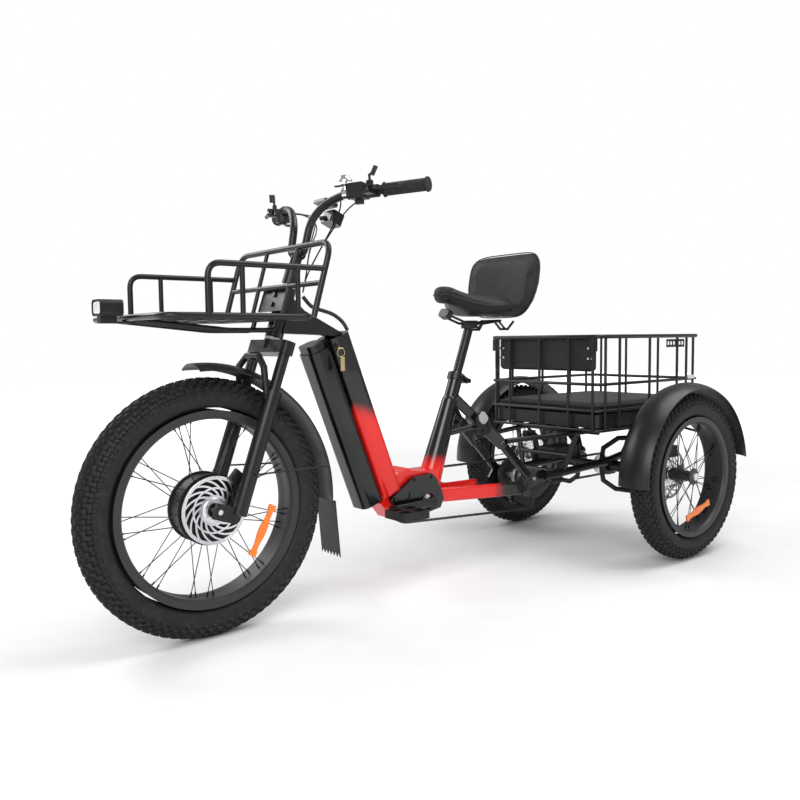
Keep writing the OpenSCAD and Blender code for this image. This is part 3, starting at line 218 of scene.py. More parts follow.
@dataclass(frozen=True)
class Finish:
    """Plain finish with fine grain, faint clouding and dust.

    Attributes:
        name: material name.
        colour: base colour.
        rough: roughness.
        metal: metallic share.
        coat: clear coat.
        grain: grains per metre.
        depth: height of the grain in metres.
        cloud: how far the colour drifts.
        shine: strength of the reflection on its face.
    """

    name: str
    colour: tuple
    rough: float = 0.45
    metal: float = 0.0
    coat: float = 0.0
    grain: float = 900.0
    depth: float = 0.00015
    cloud: float = 0.35
    shine: float = 0.4

    def build(self) -> bpy.types.Material:
        """Makes the material once and returns it."""
        made = bpy.data.materials.get(self.name)
        if made:
            return made
        paint = Paint(self.name)
        paint.feed(paint.shader.inputs["Specular IOR Level"], self.shine)
        self.dress(paint)
        return paint.material

    def dress(self, paint: Paint) -> None:
        """Fills a paint's sockets."""
        drift = paint.noise(9.0, 4.0)
        light = tuple(min(1.0, c * (1 + self.cloud) + 0.001) for c in self.colour)
        dark = tuple(c * (1 - self.cloud) for c in self.colour)
        paint.surface(paint.mix(drift.step(0.3, 0.7), rgb(dark), rgb(light)),
                      (paint.noise(30.0) - 0.5) * 0.16 + self.rough, self.metal, self.coat)
        paint.relief(paint.noise(self.grain, 2.0), self.depth)


@dataclass(frozen=True)
class Brushed(Finish):
    """Metal turned or drawn in one direction, with fine lines.

    Attributes:
        along: how far the lines are stretched along each axis.
    """

    along: tuple = (1, 0.05, 0.05)

    def dress(self, paint: Paint) -> None:
        """Fine lines in the roughness and the relief."""
        lines = paint.noise(1500.0, 2.0, self.along)
        stain = paint.noise(14.0, 4.0).step(0.35, 0.75)
        dark = tuple(c * 0.72 for c in self.colour)
        paint.surface(paint.mix(stain, rgb(self.colour), rgb(dark)),
                      (lines - 0.5) * 0.25 + self.rough, self.metal, self.coat)
        paint.relief(lines, self.depth)


@dataclass(frozen=True)
class Leatherette(Finish):
    """Grained vinyl: small cells with creases between them."""

    def dress(self, paint: Paint) -> None:
        """Cells for the grain, with a painted highlight: the cell tops are painted lighter and the
        creases are left darker as painted shade, and the tops also shine a little more through
        their roughness.
        """
        crease = paint.cells(self.grain).step(0.0, 0.12)
        drift = paint.noise(7.0, 3.0)
        # painted highlight colour for the cell tops; the base colour stays in the creases as
        # painted shade
        light = tuple(c * 1.7 + 0.004 for c in self.colour)
        paint.surface(paint.mix(crease * drift, rgb(self.colour), rgb(light)),
                      self.rough - crease * 0.12)
        paint.relief(crease, self.depth)


@dataclass(frozen=True)
class Rubber(Finish):
    """Tyre rubber: matt, a little paler and dusty in patches spread by noise."""

    def dress(self, paint: Paint) -> None:
        """Dust in noise patches and a fine noise grain as relief."""
        dust = paint.noise(55.0, 5.0).step(0.45, 0.8)
        pale = tuple(c + 0.022 for c in self.colour)
        paint.surface(paint.mix(dust * 0.55, rgb(self.colour), rgb(pale)),
                      (paint.noise(200.0) - 0.5) * 0.2 + self.rough)
        paint.relief(paint.noise(self.grain, 3.0), self.depth)


@dataclass(frozen=True)
class FadedFrame(Finish):
    """Gloss paint that fades from red on the low tubes to black above.

    Attributes:
        red: colour of the low part.
        crank: place of the crank axle along Y.
    """

    red: tuple = (0.7, 0.008, 0.005)
    crank: float = 0.0

    def dress(self, paint: Paint) -> None:
        """The height of the fade drops from the down tube to the seat tube."""
        _, y, z = paint.axes()
        ruffle = (paint.noise(22.0, 5.0, (1, 1, 0.35)) - 0.5) * 0.07
        slope = (y - (self.crank - 0.11)).step(0.0, 0.09) * 0.175
        level = 0.575 - slope - (y - (self.crank + 0.09)).step(0.0, 0.05) * 0.08
        low = (level - z + ruffle).step(-0.02, 0.03)
        front = 1.0 - (y + ruffle - (self.crank + 0.28)).step(0.0, 0.05)
        share = low * front
        fleck = paint.noise(2600.0, 1.0).step(0.5, 0.9) * 0.25
        red = paint.mix(fleck, rgb(self.red), rgb((0.85, 0.03, 0.012)))
        paint.surface(paint.mix(share, rgb(self.colour), red),
                      (paint.noise(40.0) - 0.5) * 0.08 + self.rough, 0.0, self.coat)
        paint.relief(paint.noise(self.grain, 1.0), self.depth)


@dataclass(frozen=True)
class StudioFloor(Finish):
    """Pale floor that glows faintly far from the machine, so that it meets the backdrop."""

    def dress(self, paint: Paint) -> None:
        """Emission that grows with the square of the distance."""
        super().dress(paint)
        x, y, _ = paint.axes()
        glow = (x * x + y * y).step(1.5, 30.0)
        paint.feed(paint.shader.inputs["Emission Color"],
                   paint.mix(glow, rgb((0.0, 0.0, 0.0)), rgb((1.0, 1.0, 1.0))))
        paint.feed(paint.shader.inputs["Emission Strength"], 1.0)


@dataclass(frozen=True)
class BoltedPlate(Brushed):
    """Black plate with bare metal round its bolt.

    Attributes:
        bolt: place of the bolt along Y and Z.
        bare: radius of the bare metal.
    """

    bolt: tuple = (0.0, 0.0)
    bare: float = 0.021

    def dress(self, paint: Paint) -> None:
        """Bare metal within a ragged circle round the bolt, black paint elsewhere."""
        _, y, z = paint.axes()
        dy, dz = y - self.bolt[0], z - self.bolt[1]
        ragged = (paint.noise(90.0) - 0.5) * 0.012
        black = ((dy * dy + dz * dz).power(0.5) + ragged).step(self.bare, self.bare + 0.001)
        lines = paint.noise(1500.0, 2.0, self.along)
        paint.surface(paint.mix(black, rgb(self.colour), rgb((0.006, 0.006, 0.006))),
                      (lines - 0.5) * 0.25 + self.rough)
        paint.feed(paint.shader.inputs["Metallic"], 1.0 - black)
        paint.relief(lines, self.depth)


def upper_bolt() -> tuple:
    """Middle of the stay plates' front end, which their upper bolt holds."""
    mesh = frame["nodes"]["stay_plates"].data
    places = np.empty(len(mesh.vertices) * 3)
    mesh.vertices.foreach_get("co", places)
    places = places.reshape(-1, 3)
    front = places[places[:, 2] > places[:, 2].max() - 0.045]
    middle = (front.min(0) + front.max(0)) / 2
    return float(middle[1]), float(middle[2])


class Stock(Enum):
    """The finishes used on this machine."""

    FRAME = FadedFrame("paint_fade", (0.005, 0.005, 0.0055), 0.24, 0.0, 0.35, 300.0, 0.0001,
                       crank=float(PIVOTS["crank_spin"][1]))
    SATIN = Finish("paint_satin_black", (0.005, 0.005, 0.0055), 0.34, grain=700.0)
    TYRE = Rubber("rubber_tyre", (0.006, 0.006, 0.0065), 0.62, grain=1500.0, depth=0.0002)
    GRIP = Rubber("rubber_grip", (0.009, 0.009, 0.0095), 0.6, grain=2500.0, depth=0.0002)
    CABLE = Finish("cable_sheath", (0.005, 0.005, 0.005), 0.36, grain=500.0)
    RIM = Finish("rim_black", (0.005, 0.005, 0.0055), 0.26, grain=500.0)
    SPOKE = Finish("spoke_black", (0.02, 0.02, 0.022), 0.3, 0.6)
    MOTOR = Finish("motor_cast", (0.008, 0.008, 0.0085), 0.4, 0.3, 0.0, 1400.0, 0.0003)
    PLASTIC = Finish("plastic_black", (0.006, 0.006, 0.0065), 0.44, grain=2200.0, depth=0.0002)
    GLOSS = Finish("battery_case", (0.004, 0.004, 0.0045), 0.2, 0.0, 0.2, 500.0)
    SILVER = Brushed("silver_metal", (0.62, 0.63, 0.65), 0.3, 1.0)
    DISC = Brushed("disc_steel", (0.72, 0.73, 0.75), 0.24, 1.0, along=(1, 1, 1))
    CHROME = Brushed("chromed", (0.85, 0.86, 0.88), 0.12, 1.0, depth=0.00002)
    CHAIN = Brushed("chain_steel", (0.10, 0.095, 0.09), 0.36, 1.0)
    PLATE = BoltedPlate("plate_and_bolts", (0.6, 0.61, 0.63), 0.34, 1.0,
                        bolt=upper_bolt())
    VINYL = Leatherette("vinyl_black", (0.006, 0.006, 0.0065), 0.5, grain=520.0, depth=0.0004,
                        shine=0.35)
    SEAM = Leatherette("vinyl_piping", (0.009, 0.009, 0.0095), 0.45, grain=900.0, depth=0.0002)
    AMBER = Finish("reflector_amber", (0.95, 0.2, 0.008), 0.2, 0.0, 0.4, 700.0, 0.0006, 0.12)
    LENS = Finish("lamp_lens", (0.8, 0.83, 0.85), 0.12, 0.0, 0.6, 500.0, 0.0006, 0.1)
    RED = Finish("button_red", (0.6, 0.02, 0.015), 0.35)
    BRASS = Brushed("key_metal", (0.62, 0.5, 0.26), 0.3, 1.0)


# ---------------------------------------------------------------- surfaces

class Shape:
    """Surfaces gathered as arrays before they become one mesh."""

    def __init__(self) -> None:
        """Starts with nothing."""
        self.points: list[np.ndarray] = []
        self.faces: list[list] = []
        self.count = 0

    def add(self, points: np.ndarray, faces: np.ndarray | list) -> "Shape":
        """Adds vertices and the faces that index them."""
        self.points.append(np.asarray(points, float).reshape(-1, 3))
        self.faces += [[int(i) + self.count for i in f] for f in faces]
        self.count += len(self.points[-1])
        return self

    def grid(self, g: np.ndarray, wrap_u: bool = False, wrap_v: bool = False,
             caps: bool = False) -> "Shape":
        """Adds a surface that is a function of two parameters.

        Four neighbours on the grid make one face: (i, j), (i+1, j), (i+1, j+1), (i, j+1),
        counted round again where a direction wraps.

        Args:
            g: points, shaped (rows, columns, 3).
            wrap_u: whether the last row joins the first.
            wrap_v: whether the last column joins the first.
            caps: whether the first and last rows are closed with a face.
        """
        n, m = g.shape[:2]
        i, j = np.meshgrid(np.arange(n if wrap_u else n - 1), np.arange(m if wrap_v else m - 1),
                           indexing="ij")
        i2, j2 = (i + 1) % n, (j + 1) % m
        quads = np.stack([i * m + j, i2 * m + j, i2 * m + j2, i * m + j2], -1).reshape(-1, 4)
        faces = quads.tolist()
        if caps:
            faces += [list(range(m)), [(n - 1) * m + k for k in range(m)]]
        return self.add(g, faces)

    def tube(self, path: np.ndarray, radius: float | np.ndarray, sides: int = 12,
             closed: bool = False) -> "Shape":
        """Carries a circle along a path: each ring is centre + r (cos a N + sin a B)."""
        p = np.asarray(path, float)
        r = np.broadcast_to(radius, len(p))[:, None, None]
        if closed:
            t = np.roll(p, -1, 0) - np.roll(p, 1, 0)
        else:
            t = np.gradient(p, axis=0)
        t /= np.linalg.norm(t, axis=1)[:, None]
        normal = np.cross(t[0], [0.31, 0.17, 0.93])
        rows = []
        for k in t:
            normal = normal - k * np.dot(normal, k)
            normal = normal / np.linalg.norm(normal)
            rows.append(normal)
        n = np.array(rows)
        b = np.cross(t, n)
        a = np.linspace(0, 2 * np.pi, sides, endpoint=False)
        ring = np.cos(a)[None, :, None] * n[:, None] + np.sin(a)[None, :, None] * b[:, None]
        return self.grid(p[:, None] + r * ring, closed, True, not closed)

    def block(self, low: tuple, high: tuple) -> "Shape":
        """Adds a closed box between two corners."""
        lo, hi = np.array(low), np.array(high)
        c = np.array([[x, y, z] for x in (0, 1) for y in (0, 1) for z in (0, 1)])
        return self.add(lo + c * (hi - lo), [(0, 1, 3, 2), (4, 6, 7, 5), (0, 4, 5, 1),
                                             (2, 3, 7, 6), (0, 2, 6, 4), (1, 5, 7, 3)])

    def turned(self, profile: np.ndarray, centre: np.ndarray, sides: int = 96,
               closed: bool = True) -> "Shape":
        """Turns a profile of (x, radius) points round an axle along X."""
        a = np.linspace(0, 2 * np.pi, sides, endpoint=False)[:, None]
        x, r = np.array(profile).T
        g = np.stack([x + 0 * a, r * np.sin(a), -r * np.cos(a)], -1) + centre
        if closed:
            return self.grid(g, True, True)
        self.grid(g, True, False)
        m = len(x)
        base = self.count - sides * m
        self.faces.append([base + k * m for k in range(sides)])
        self.faces.append([base + k * m + m - 1 for k in range(sides)])
        return self

    def piece(self, name: str, stock: Stock, body: str | None, replaces: tuple = (),
              bevel: float = 0.0, smooth: bool = True, subdivide: int = 0) -> bpy.types.Object:
        """Makes the mesh, dresses it and sets it on its body.

        Args:
            name: the piece's name.
            stock: its finish.
            body: the CAD body it rides on, or None for a piece that bends between two.
            replaces: CAD nodes that it stands for.
            bevel: width of its rounded edges.
            smooth: whether it is shaded smooth.
            subdivide: levels of subdivision.

        Returns:
            The object.
        """
        mesh = bpy.data.meshes.new(name)
        mesh.from_pydata(np.concatenate(self.points).tolist(), [], self.faces)
        bm = bmesh.new()
        bm.from_mesh(mesh)
        bmesh.ops.remove_doubles(bm, verts=bm.verts, dist=1e-6)
        bmesh.ops.recalc_face_normals(bm, faces=bm.faces)
        bm.to_mesh(mesh)
        bm.free()
        if smooth:
            mesh.polygons.foreach_set("use_smooth", [True] * len(mesh.polygons))
            mesh.set_sharp_from_angle(angle=math.radians(38))
        mesh.materials.append(stock.value.build())
        obj = bpy.data.objects.new(name, mesh)
        bpy.context.scene.collection.objects.link(obj)
        if bevel:
            m = obj.modifiers.new("edge", "BEVEL")
            m.width, m.segments, m.limit_method = bevel, 2, "ANGLE"
        if subdivide:
            m = obj.modifiers.new("round", "SUBSURF")
            m.levels = m.render_levels = subdivide
        if body:
            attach(obj, body)
        if replaces:
            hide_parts(*replaces)
        LOG.info("%s: %d faces on %s", name, len(mesh.polygons), body)
        return obj


def bent(points: list, cut: float, closed: bool = False, steps: int = 7) -> np.ndarray:
    """Path with its corners rounded as a bent tube's.

    Each corner P is replaced by the quadratic curve (1-t)^2 A + 2t(1-t) P + t^2 B, where A
    and B lie on the two sides a cut away from P.

    Args:
        points: the corners.
        cut: how far from a corner its bend starts.
        closed: whether the path is a loop.
        steps: points in each bend.

    Returns:
        The path's points.
    """
    p = np.array(points, float)
    inner = p if closed else p[1:-1]
    before = np.roll(p, 1, 0) if closed else p[:-2]
    after = np.roll(p, -1, 0) if closed else p[2:]

    def towards(other: np.ndarray) -> np.ndarray:
        """Point on the side, no further than just under half way."""
        d = other - inner
        length = np.linalg.norm(d, axis=1)[:, None]
        return inner + d / length * np.minimum(cut, 0.45 * length)

    a, b = towards(before)[:, None], towards(after)[:, None]
    t = np.linspace(0, 1, steps)[None, :, None]
    curve = ((1 - t) ** 2 * a + 2 * t * (1 - t) * inner[:, None] + t ** 2 * b).reshape(-1, 3)
    return curve if closed else np.concatenate([p[:1], curve, p[-1:]])


def power(v: np.ndarray, e: float) -> np.ndarray:
    """Signed power, sign(v) |v|^e, which squares a circle's outline as e falls."""
    return np.sign(v) * np.abs(v) ** e


def pad(size: tuple, square: float, crown: float, rows: int = 40, cols: int = 96) -> np.ndarray:
    """Closed crowned cushion round the origin.

    x = a C(p, crown) C(q, square), y = b C(p, crown) S(q, square), z = c S(p, crown), with
    C and S the signed powers of cosine and sine.

    Args:
        size: half sizes a, b and c.
        square: exponent of the outline, small for a squarer one.
        crown: exponent of the section.
        rows: rows from pole to pole.
        cols: columns round.

    Returns:
        The grid of points.
    """
    p = np.linspace(-np.pi / 2, np.pi / 2, rows)[:, None]
    q = np.linspace(0, 2 * np.pi, cols, endpoint=False)[None]
    c = power(np.cos(p), crown)
    return np.stack([size[0] * c * power(np.cos(q), square), size[1] * c * power(np.sin(q), square),
                     size[2] * power(np.sin(p), crown) + 0 * q], -1)


def settle(obj: bpy.types.Object) -> np.ndarray:
    """Places of a piece's vertices once its modifiers have acted."""
    seen = obj.evaluated_get(bpy.context.evaluated_depsgraph_get()).data
    places = np.empty(len(seen.vertices) * 3)
    seen.vertices.foreach_get("co", places)
    return places.reshape(-1, 3)


def inflate(obj: bpy.types.Object, cap: float, pressure: float = 4.0) -> None:
    """Swells a cushion as cloth under pressure, then keeps the result as its mesh.

    Args:
        obj: the cushion, with its place in its mesh.
        cap: the most that any point may move, in metres.
        pressure: the air's push.
    """
    skin = obj.modifiers.new("skin", "REMESH")
    skin.mode, skin.voxel_size = "VOXEL", 0.005
    seen = obj.evaluated_get(bpy.context.evaluated_depsgraph_get())
    mesh = bpy.data.meshes.new_from_object(seen)
    mesh.polygons.foreach_set("use_smooth", [True] * len(mesh.polygons))
    obj.modifiers.remove(skin)
    obj.data = mesh
    rest = settle(obj)
    cloth = obj.modifiers.new("cloth", "CLOTH")
    cloth.settings.use_pressure = True
    cloth.settings.uniform_pressure_force = pressure
    cloth.settings.effector_weights.gravity = 0.0
    for number in range(1, 21):
        bpy.context.scene.frame_set(number)
    move = settle(obj) - rest
    obj.modifiers.remove(cloth)
    bpy.context.scene.frame_set(1)
    length = np.linalg.norm(move, axis=1)[:, None] + 1e-9
    move *= np.minimum(length, cap) / length
    obj.data.vertices.foreach_set("co", (rest + move).ravel())
    obj.data.update()
    finer = obj.modifiers.new("finer", "SUBSURF")
    finer.levels = finer.render_levels = 1


# ---------------------------------------------------------------- wheels

@dataclass
class Wheel:
    """Tyre, rim, spokes and reflector of one wheel.

    Attributes:
        key: end of the piece names.
        tyre: CAD node of the tyre.
        rim: CAD node of the rim.
        body: CAD body.
        outer: +1 where the outer side faces +X, else -1.
        flange: radius at which the spokes start.
        clip: radius at which the reflector sits.
        turn: the reflector's angle from straight down, in degrees.
        knob: height of a tread block.
        half: half width of the tyre.
    """

    key: str
    tyre: str
    rim: str
    body: str
    outer: int
    flange: float
    clip: float
    turn: float
    knob: float = 0.0062
    half: float = 0.05

    def __post_init__(self) -> None:
        """Reads the wheel's centre and radii from the CAD."""
        lo, hi = box_of(self.tyre)
        self.centre = (lo + hi) / 2
        self.radius = (hi[2] - lo[2]) / 2
        rl, rh = box_of(self.rim)
        self.lip = (rh[2] - rl[2]) / 2

    def build(self) -> None:
        """Makes all of the wheel's pieces."""
        self.make_tyre()
        self.make_rim()
        self.make_spokes()
        self.make_reflector()

    def make_tyre(self) -> None:
        """Knobbly tyre.

        A point is at the section's angle v and the wheel's angle u. The section's radius is
        the carcass's plus a knob, which stands where the products of square waves in u and v
        are high, in two staggered rows each side of the middle, and fades on the sidewall.
        The lining closes the section from bead to bead.
        """
        count = 78 if self.radius > 0.32 else 66
        n = count * 10
        u = np.linspace(0, 2 * np.pi, n, endpoint=False)[:, None]
        v = np.linspace(-2.28, 2.28, 73)[None]
        row = v / 0.27
        shift = np.where(np.floor(row + 0.5) % 2 == 0, 0.0, 0.5)
        wave = (u / (2 * np.pi) * count + shift + 0.12 * np.abs(v)) % 1.0
        across = np.abs(row - np.floor(row + 0.5))
        tread = (np.abs(wave - 0.5) < 0.27) & (across < 0.34) & (np.abs(v) < 1.22)
        side = (np.abs(v) >= 1.22) & (np.abs(v) < 1.42) & (np.abs(wave - 0.5) < 0.24)
        lift = np.where(tread, 1.0, np.where(side, 0.6, 0.0))
        at = np.abs(v)
        ribs = 0.0008 * ((np.abs(at - 1.78) < 0.03) | (np.abs(at - 2.1) < 0.03))
        r = self.half - self.knob + self.knob * lift + ribs
        middle = self.radius - self.half
        reach = middle + r * np.cos(v)
        g = np.stack([r * np.sin(v) + 0 * u, reach * np.sin(u), -reach * np.cos(u)], -1)
        w = np.linspace(2.28, -2.28, 15)[None]
        thin = self.half - self.knob - 0.0025
        deep = middle + thin * np.cos(w)
        lining = np.stack([thin * np.sin(w) + 0 * u, deep * np.sin(u), -deep * np.cos(u)], -1)
        Shape().grid(np.concatenate([g, lining], 1) + self.centre, True, True).piece(
            f"tyre_{self.key}", Stock.TYRE, self.body, (self.tyre,))

    def make_rim(self) -> None:
        """Channel rim with a rolled lip and a shallow hollow, turned round the axle."""
        lip, half = self.lip, 0.042
        outline = [(half, lip), (half, lip - .018), (half - .009, lip - .024), (.012, lip - .0245),
                   (0, lip - .022), (-.012, lip - .0245), (.009 - half, lip - .024),
                   (-half, lip - .018), (-half, lip), (.003 - half, lip),
                   (.0035 - half, lip - .014), (.012 - half, lip - .020),
                   (half - .012, lip - .020), (half - .0035, lip - .014), (half - .003, lip)]
        Shape().turned(outline, self.centre, 144).piece(
            f"rim_{self.key}", Stock.RIM, self.body, (self.rim,), bevel=0.0008)

    def make_spokes(self) -> None:
        """Thirty-six crossed spokes with their nipples, as thin six-sided rods.

        Spoke k runs from the flange at angle 10k degrees to the rim at that angle turned by
        twelve degrees, forwards or backwards.
        """
        shape = Shape()
        for k in range(36):
            side, twist = (k % 2) * 2 - 1, (k // 2 % 2) * 2 - 1
            a, b = math.radians(k * 10), math.radians(k * 10 + twist * 12)
            apart = twist * 0.0017
            start = [side * (0.03 + apart), self.flange * math.sin(a), -self.flange * math.cos(a)]
            r = self.lip - 0.0235
            end = [side * (0.008 + apart), r * math.sin(b), -r * math.cos(b)]
            p, q = np.array(start) + self.centre, np.array(end) + self.centre
            shape.tube(np.linspace(p, q, 2), 0.0013, 6)
            shape.tube(np.linspace(q + (p - q) * 0.08, q, 2), 0.0024, 6)
        shape.piece(f"spokes_{self.key}", Stock.SPOKE, self.body, smooth=False)

    def make_reflector(self) -> None:
        """Amber wing clipped across the spokes: wide in the middle, notched at its ends."""
        t = np.linspace(-1, 1, 33)
        ends = np.abs(t) > 0.76
        width = 0.0075 + 0.0045 * np.cos(t * np.pi) * (np.abs(t) < 0.5) + 0.0035 * ends
        angle, r = math.radians(self.turn), self.clip
        radial, along = np.array([0, math.sin(angle), -math.cos(angle)]), \
            np.array([0, math.cos(angle), math.sin(angle)])
        place = self.centre + np.array([self.outer * 0.0275, 0, 0]) + radial * r
        shape = Shape()
        rows = []
        for sx, sy in ((-1, -1), (1, -1), (1, 1), (-1, 1)):
            rows.append(place + along * t[:, None] * 0.074 + radial * (sy * width)[:, None]
                        + np.array([sx * 0.003, 0, 0]))
        shape.grid(np.stack(rows, 1), False, True, True)
        shape.piece(f"reflector_{self.key}", Stock.AMBER, self.body, bevel=0.0006, smooth=False)


@dataclass
class Disc:
    """Brake disc with swept arms between its rings.

    Attributes:
        name: the piece's name.
        body: CAD body.
        centre: middle of the disc.
        radius: outer radius.
        hub: radius of the inner ring.
        arms: how many arms join the rings.
        replaces: CAD nodes that it stands for.
    """

    name: str
    body: str
    centre: np.ndarray
    radius: float = 0.09
    hub: float = 0.030
    arms: int = 16
    replaces: tuple = ()

    def build(self) -> None:
        """Rings and arms.

        An arm's middle line is at angle k + 1.1 s over the share s of the way out, and its
        half width is 3.4 mm at the hub and 5 mm at the rim.
        """
        shape, h = Shape(), 0.00115
        for r0, r1 in ((self.radius - 0.009, self.radius), (self.hub, self.hub + 0.010),
                       (self.radius - 0.034, self.radius - 0.029)):
            shape.turned([(-h, r0), (h, r0), (h, r1), (-h, r1)], self.centre, 96)
        s = np.linspace(0, 1, 12)
        r = self.hub + 0.006 + s * (self.radius - self.hub - 0.010)
        half = 0.0034 + 0.0018 * s
        for k in range(self.arms):
            a = 2 * np.pi * k / self.arms + 1.1 * s
            rows = [np.stack([0 * s + sx * h * 0.9, r * np.sin(a + sy * half / r),
                              -r * np.cos(a + sy * half / r)], -1) + self.centre
                    for sx, sy in ((-1, -1), (1, -1), (1, 1), (-1, 1))]
            shape.grid(np.stack(rows, 1), False, True, True)
        shape.piece(self.name, Stock.DISC, self.body, self.replaces, smooth=False)


@dataclass
class FrontHub:
    """Motor shell with cooling flutes, its disc and its axle nuts."""

    def build(self) -> None:
        """The shell's radius is its drum's plus 1.6 mm times the cosine of 60 times the angle."""
        lo, hi = box_of("hub_motor")
        c = (lo + hi) / 2
        reach = (hi[2] - lo[2]) / 2 - 0.002
        xs = np.array([-.039, -.0385, -.034, -.0335, -.0325, -.0275, -.0265, -.02, .02, .0265,
                       .0275, .0325, .0335, .034, .0385, .039])
        rs = np.array([.052, .07, .086, .09, .094, .094, .09, .088, .088, .09, .094, .094,
                       .09, .086, .07, .052]) / 0.092 * reach
        a = np.linspace(0, 2 * np.pi, 360, endpoint=False)[:, None]
        flute = 1 - 0.014 * (0.5 + 0.5 * np.cos(60 * a)) * (np.abs(xs) > 0.033)
        r = rs * flute
        g = np.stack([xs + 0 * a, r * np.sin(a), -r * np.cos(a)], -1) + c
        shape = Shape().grid(g, True, False)
        m = len(xs)
        shape.faces += [[k * m for k in range(360)], [k * m + m - 1 for k in range(360)]]
        shape.piece("motor_shell", Stock.MOTOR, "front_wheel", ("hub_motor",))
        disc_x = box_of("front_caliper")[0][0] + 0.0052
        carrier = Shape()
        carrier.turned([(0.0385, 0.020), (0.0385, 0.040), (disc_x + 0.001, 0.034),
                        (disc_x + 0.004, 0.030), (disc_x + 0.004, 0.020)], c, 72)
        for k in range(6):
            t = math.radians(60 * k)
            p = c + np.array([disc_x + 0.0035, 0.026 * math.sin(t), -0.026 * math.cos(t)])
            carrier.turned([(-.001, .0001), (-.001, .004), (.0018, .0036), (.0018, .0001)], p, 12)
        carrier.piece("disc_carrier_front", Stock.SILVER, "front_wheel")
        Disc("disc_front", "front_wheel", c + np.array([disc_x, 0, 0])).build()
        axle = Shape()
        end = hi[0]
        axle.tube(np.array([[-end, c[1], c[2]], [end, c[1], c[2]]]), 0.0069, 24)
        axle.piece("axle_front", Stock.SILVER, "front_wheel")


@dataclass
class RearHub:
    """Hub shell, shaft and disc of one rear wheel.

    Attributes:
        key: left or right.
        side: +1 on the left, else -1.
    """

    key: str
    side: int

    def build(self) -> None:
        """Turned shell with two flanges, on the shaft."""
        body = f"rear_wheel_{self.key}"
        lo, hi = box_of(f"rear_hub_{self.key}")
        wheel = (np.add(*box_of(f"rear_tyre_{self.key}"))) / 2
        s = self.side
        shell = [(-.057, .022), (-.033, .022), (-.032, .029), (-.028, .029), (-.026, .018),
                 (.026, .018), (.028, .029), (.032, .029), (.033, .017), (.033, .0128),
                 (-.057, .0128)]
        Shape().turned([(s * x, r) for x, r in shell], wheel, 72).piece(
            f"hub_shell_{self.key}", Stock.RIM, body, (f"rear_hub_{self.key}",))
        inner, outer = (lo[0], hi[0]) if s > 0 else (hi[0], lo[0])
        shaft = Shape().tube(np.array([[inner, *wheel[1:]], [outer - s * .001, *wheel[1:]]]),
                             0.01245, 32)
        nut = wheel + np.array([s * 0.037, 0, 0])
        shaft.turned([(-.004, .0125), (-.004, .014), (.003, .014), (.004, .0128)], nut, 6)
        if s < 0:
            r = 0.0366
            shaft.turned([(-.0015, .013), (-.0015, r), (.0015, r), (.0015, .013)],
                         np.array([0.024, *wheel[1:]]), 40)
        shaft.piece(f"shaft_{self.key}", Stock.SILVER, body)
        Disc(f"disc_{self.key}", body, wheel - np.array([s * 0.062, 0, 0]), hub=0.0215).build()


# ---------------------------------------------------------------- rack, basket and bars

@dataclass
class Rack:
    """Front rack of bent tube with a slatted deck.

    Attributes:
        tube: radius of the main tube.
        pitch: distance from one slat to the next.
        gaps: spaces between slats, from the front tube to the rear one.
        back_rise: height of the rear frame over the deck.
        rail_rise: height of the side rails over the deck.
    """

    tube: float = 0.008
    pitch: float = 0.0560404
    gaps: int = 7
    back_rise: float = 0.192
    rail_rise: float = 0.122

    def build(self) -> None:
        """Tubes and slats that follow the CAD rack's box."""
        lo, hi = box_of("front_rack")
        w = hi[0] - self.tube - 0.0004
        z = hi[2] - 0.0084 - self.back_rise
        y0 = lo[1] + self.tube + 0.0004
        frame_top = z + self.back_rise
        y1 = y0 + self.gaps * self.pitch
        slope = (hi[1] - 0.0084 - y1) / self.back_rise
        rail = z + self.rail_rise
        r0 = y0 + 0.107

        def back(height: float) -> float:
            """Place of the leaning back frame at a height."""
            return y1 + (height - z) * slope

        s = Shape()
        s.tube(bent([[w, y0, z], [-w, y0, z], [-w, y1, z], [w, y1, z]], 0.045, True), self.tube, 16,
               True)
        for m in (-1, 1):
            s.tube(bent([[m * w, r0, z], [m * w, r0, rail], [m * w, back(rail), rail]], 0.034),
                   self.tube - 0.0006, 16)
            for dy in (0.088, 0.240):
                s.tube(np.array([[m * w, r0 + dy, z], [m * w, r0 + dy, rail]]), 0.0064, 12)
            s.tube(np.array([[m * .082, y1, z], [m * .082, back(frame_top), frame_top]]), 0.006, 12)
            s.tube(bent([[m * .062, y0 + .004, z - .006], [m * .062, y0 + .25, z - .031],
                         [m * .062, y1 - .008, z - .031], [m * .062, y1, z]], 0.02), 0.0068, 12)
        s.tube(bent([[w, y1, z], [w, back(frame_top), frame_top], [-w, back(frame_top), frame_top],
                     [-w, y1, z]], 0.045), self.tube, 16)
        s.tube(np.array([[-w, back(z + .086), z + .086], [w, back(z + .086), z + .086]]), 0.007, 12)
        s.piece("rack_tubes", Stock.SATIN, "root", ("front_rack",))
        deck = Shape()
        for i in range(1, self.gaps):
            y = y0 + i * self.pitch
            deck.block((-w, y - .011, z - .004), (w, y + .011, z + .002))
        for m in (-1, 1):
            deck.block((m * .075 - .009, y0, z - .0065), (m * .075 + .009, y1, z - .0035))
        deck.piece("rack_slats", Stock.SATIN, "root", bevel=0.0012, smooth=False)


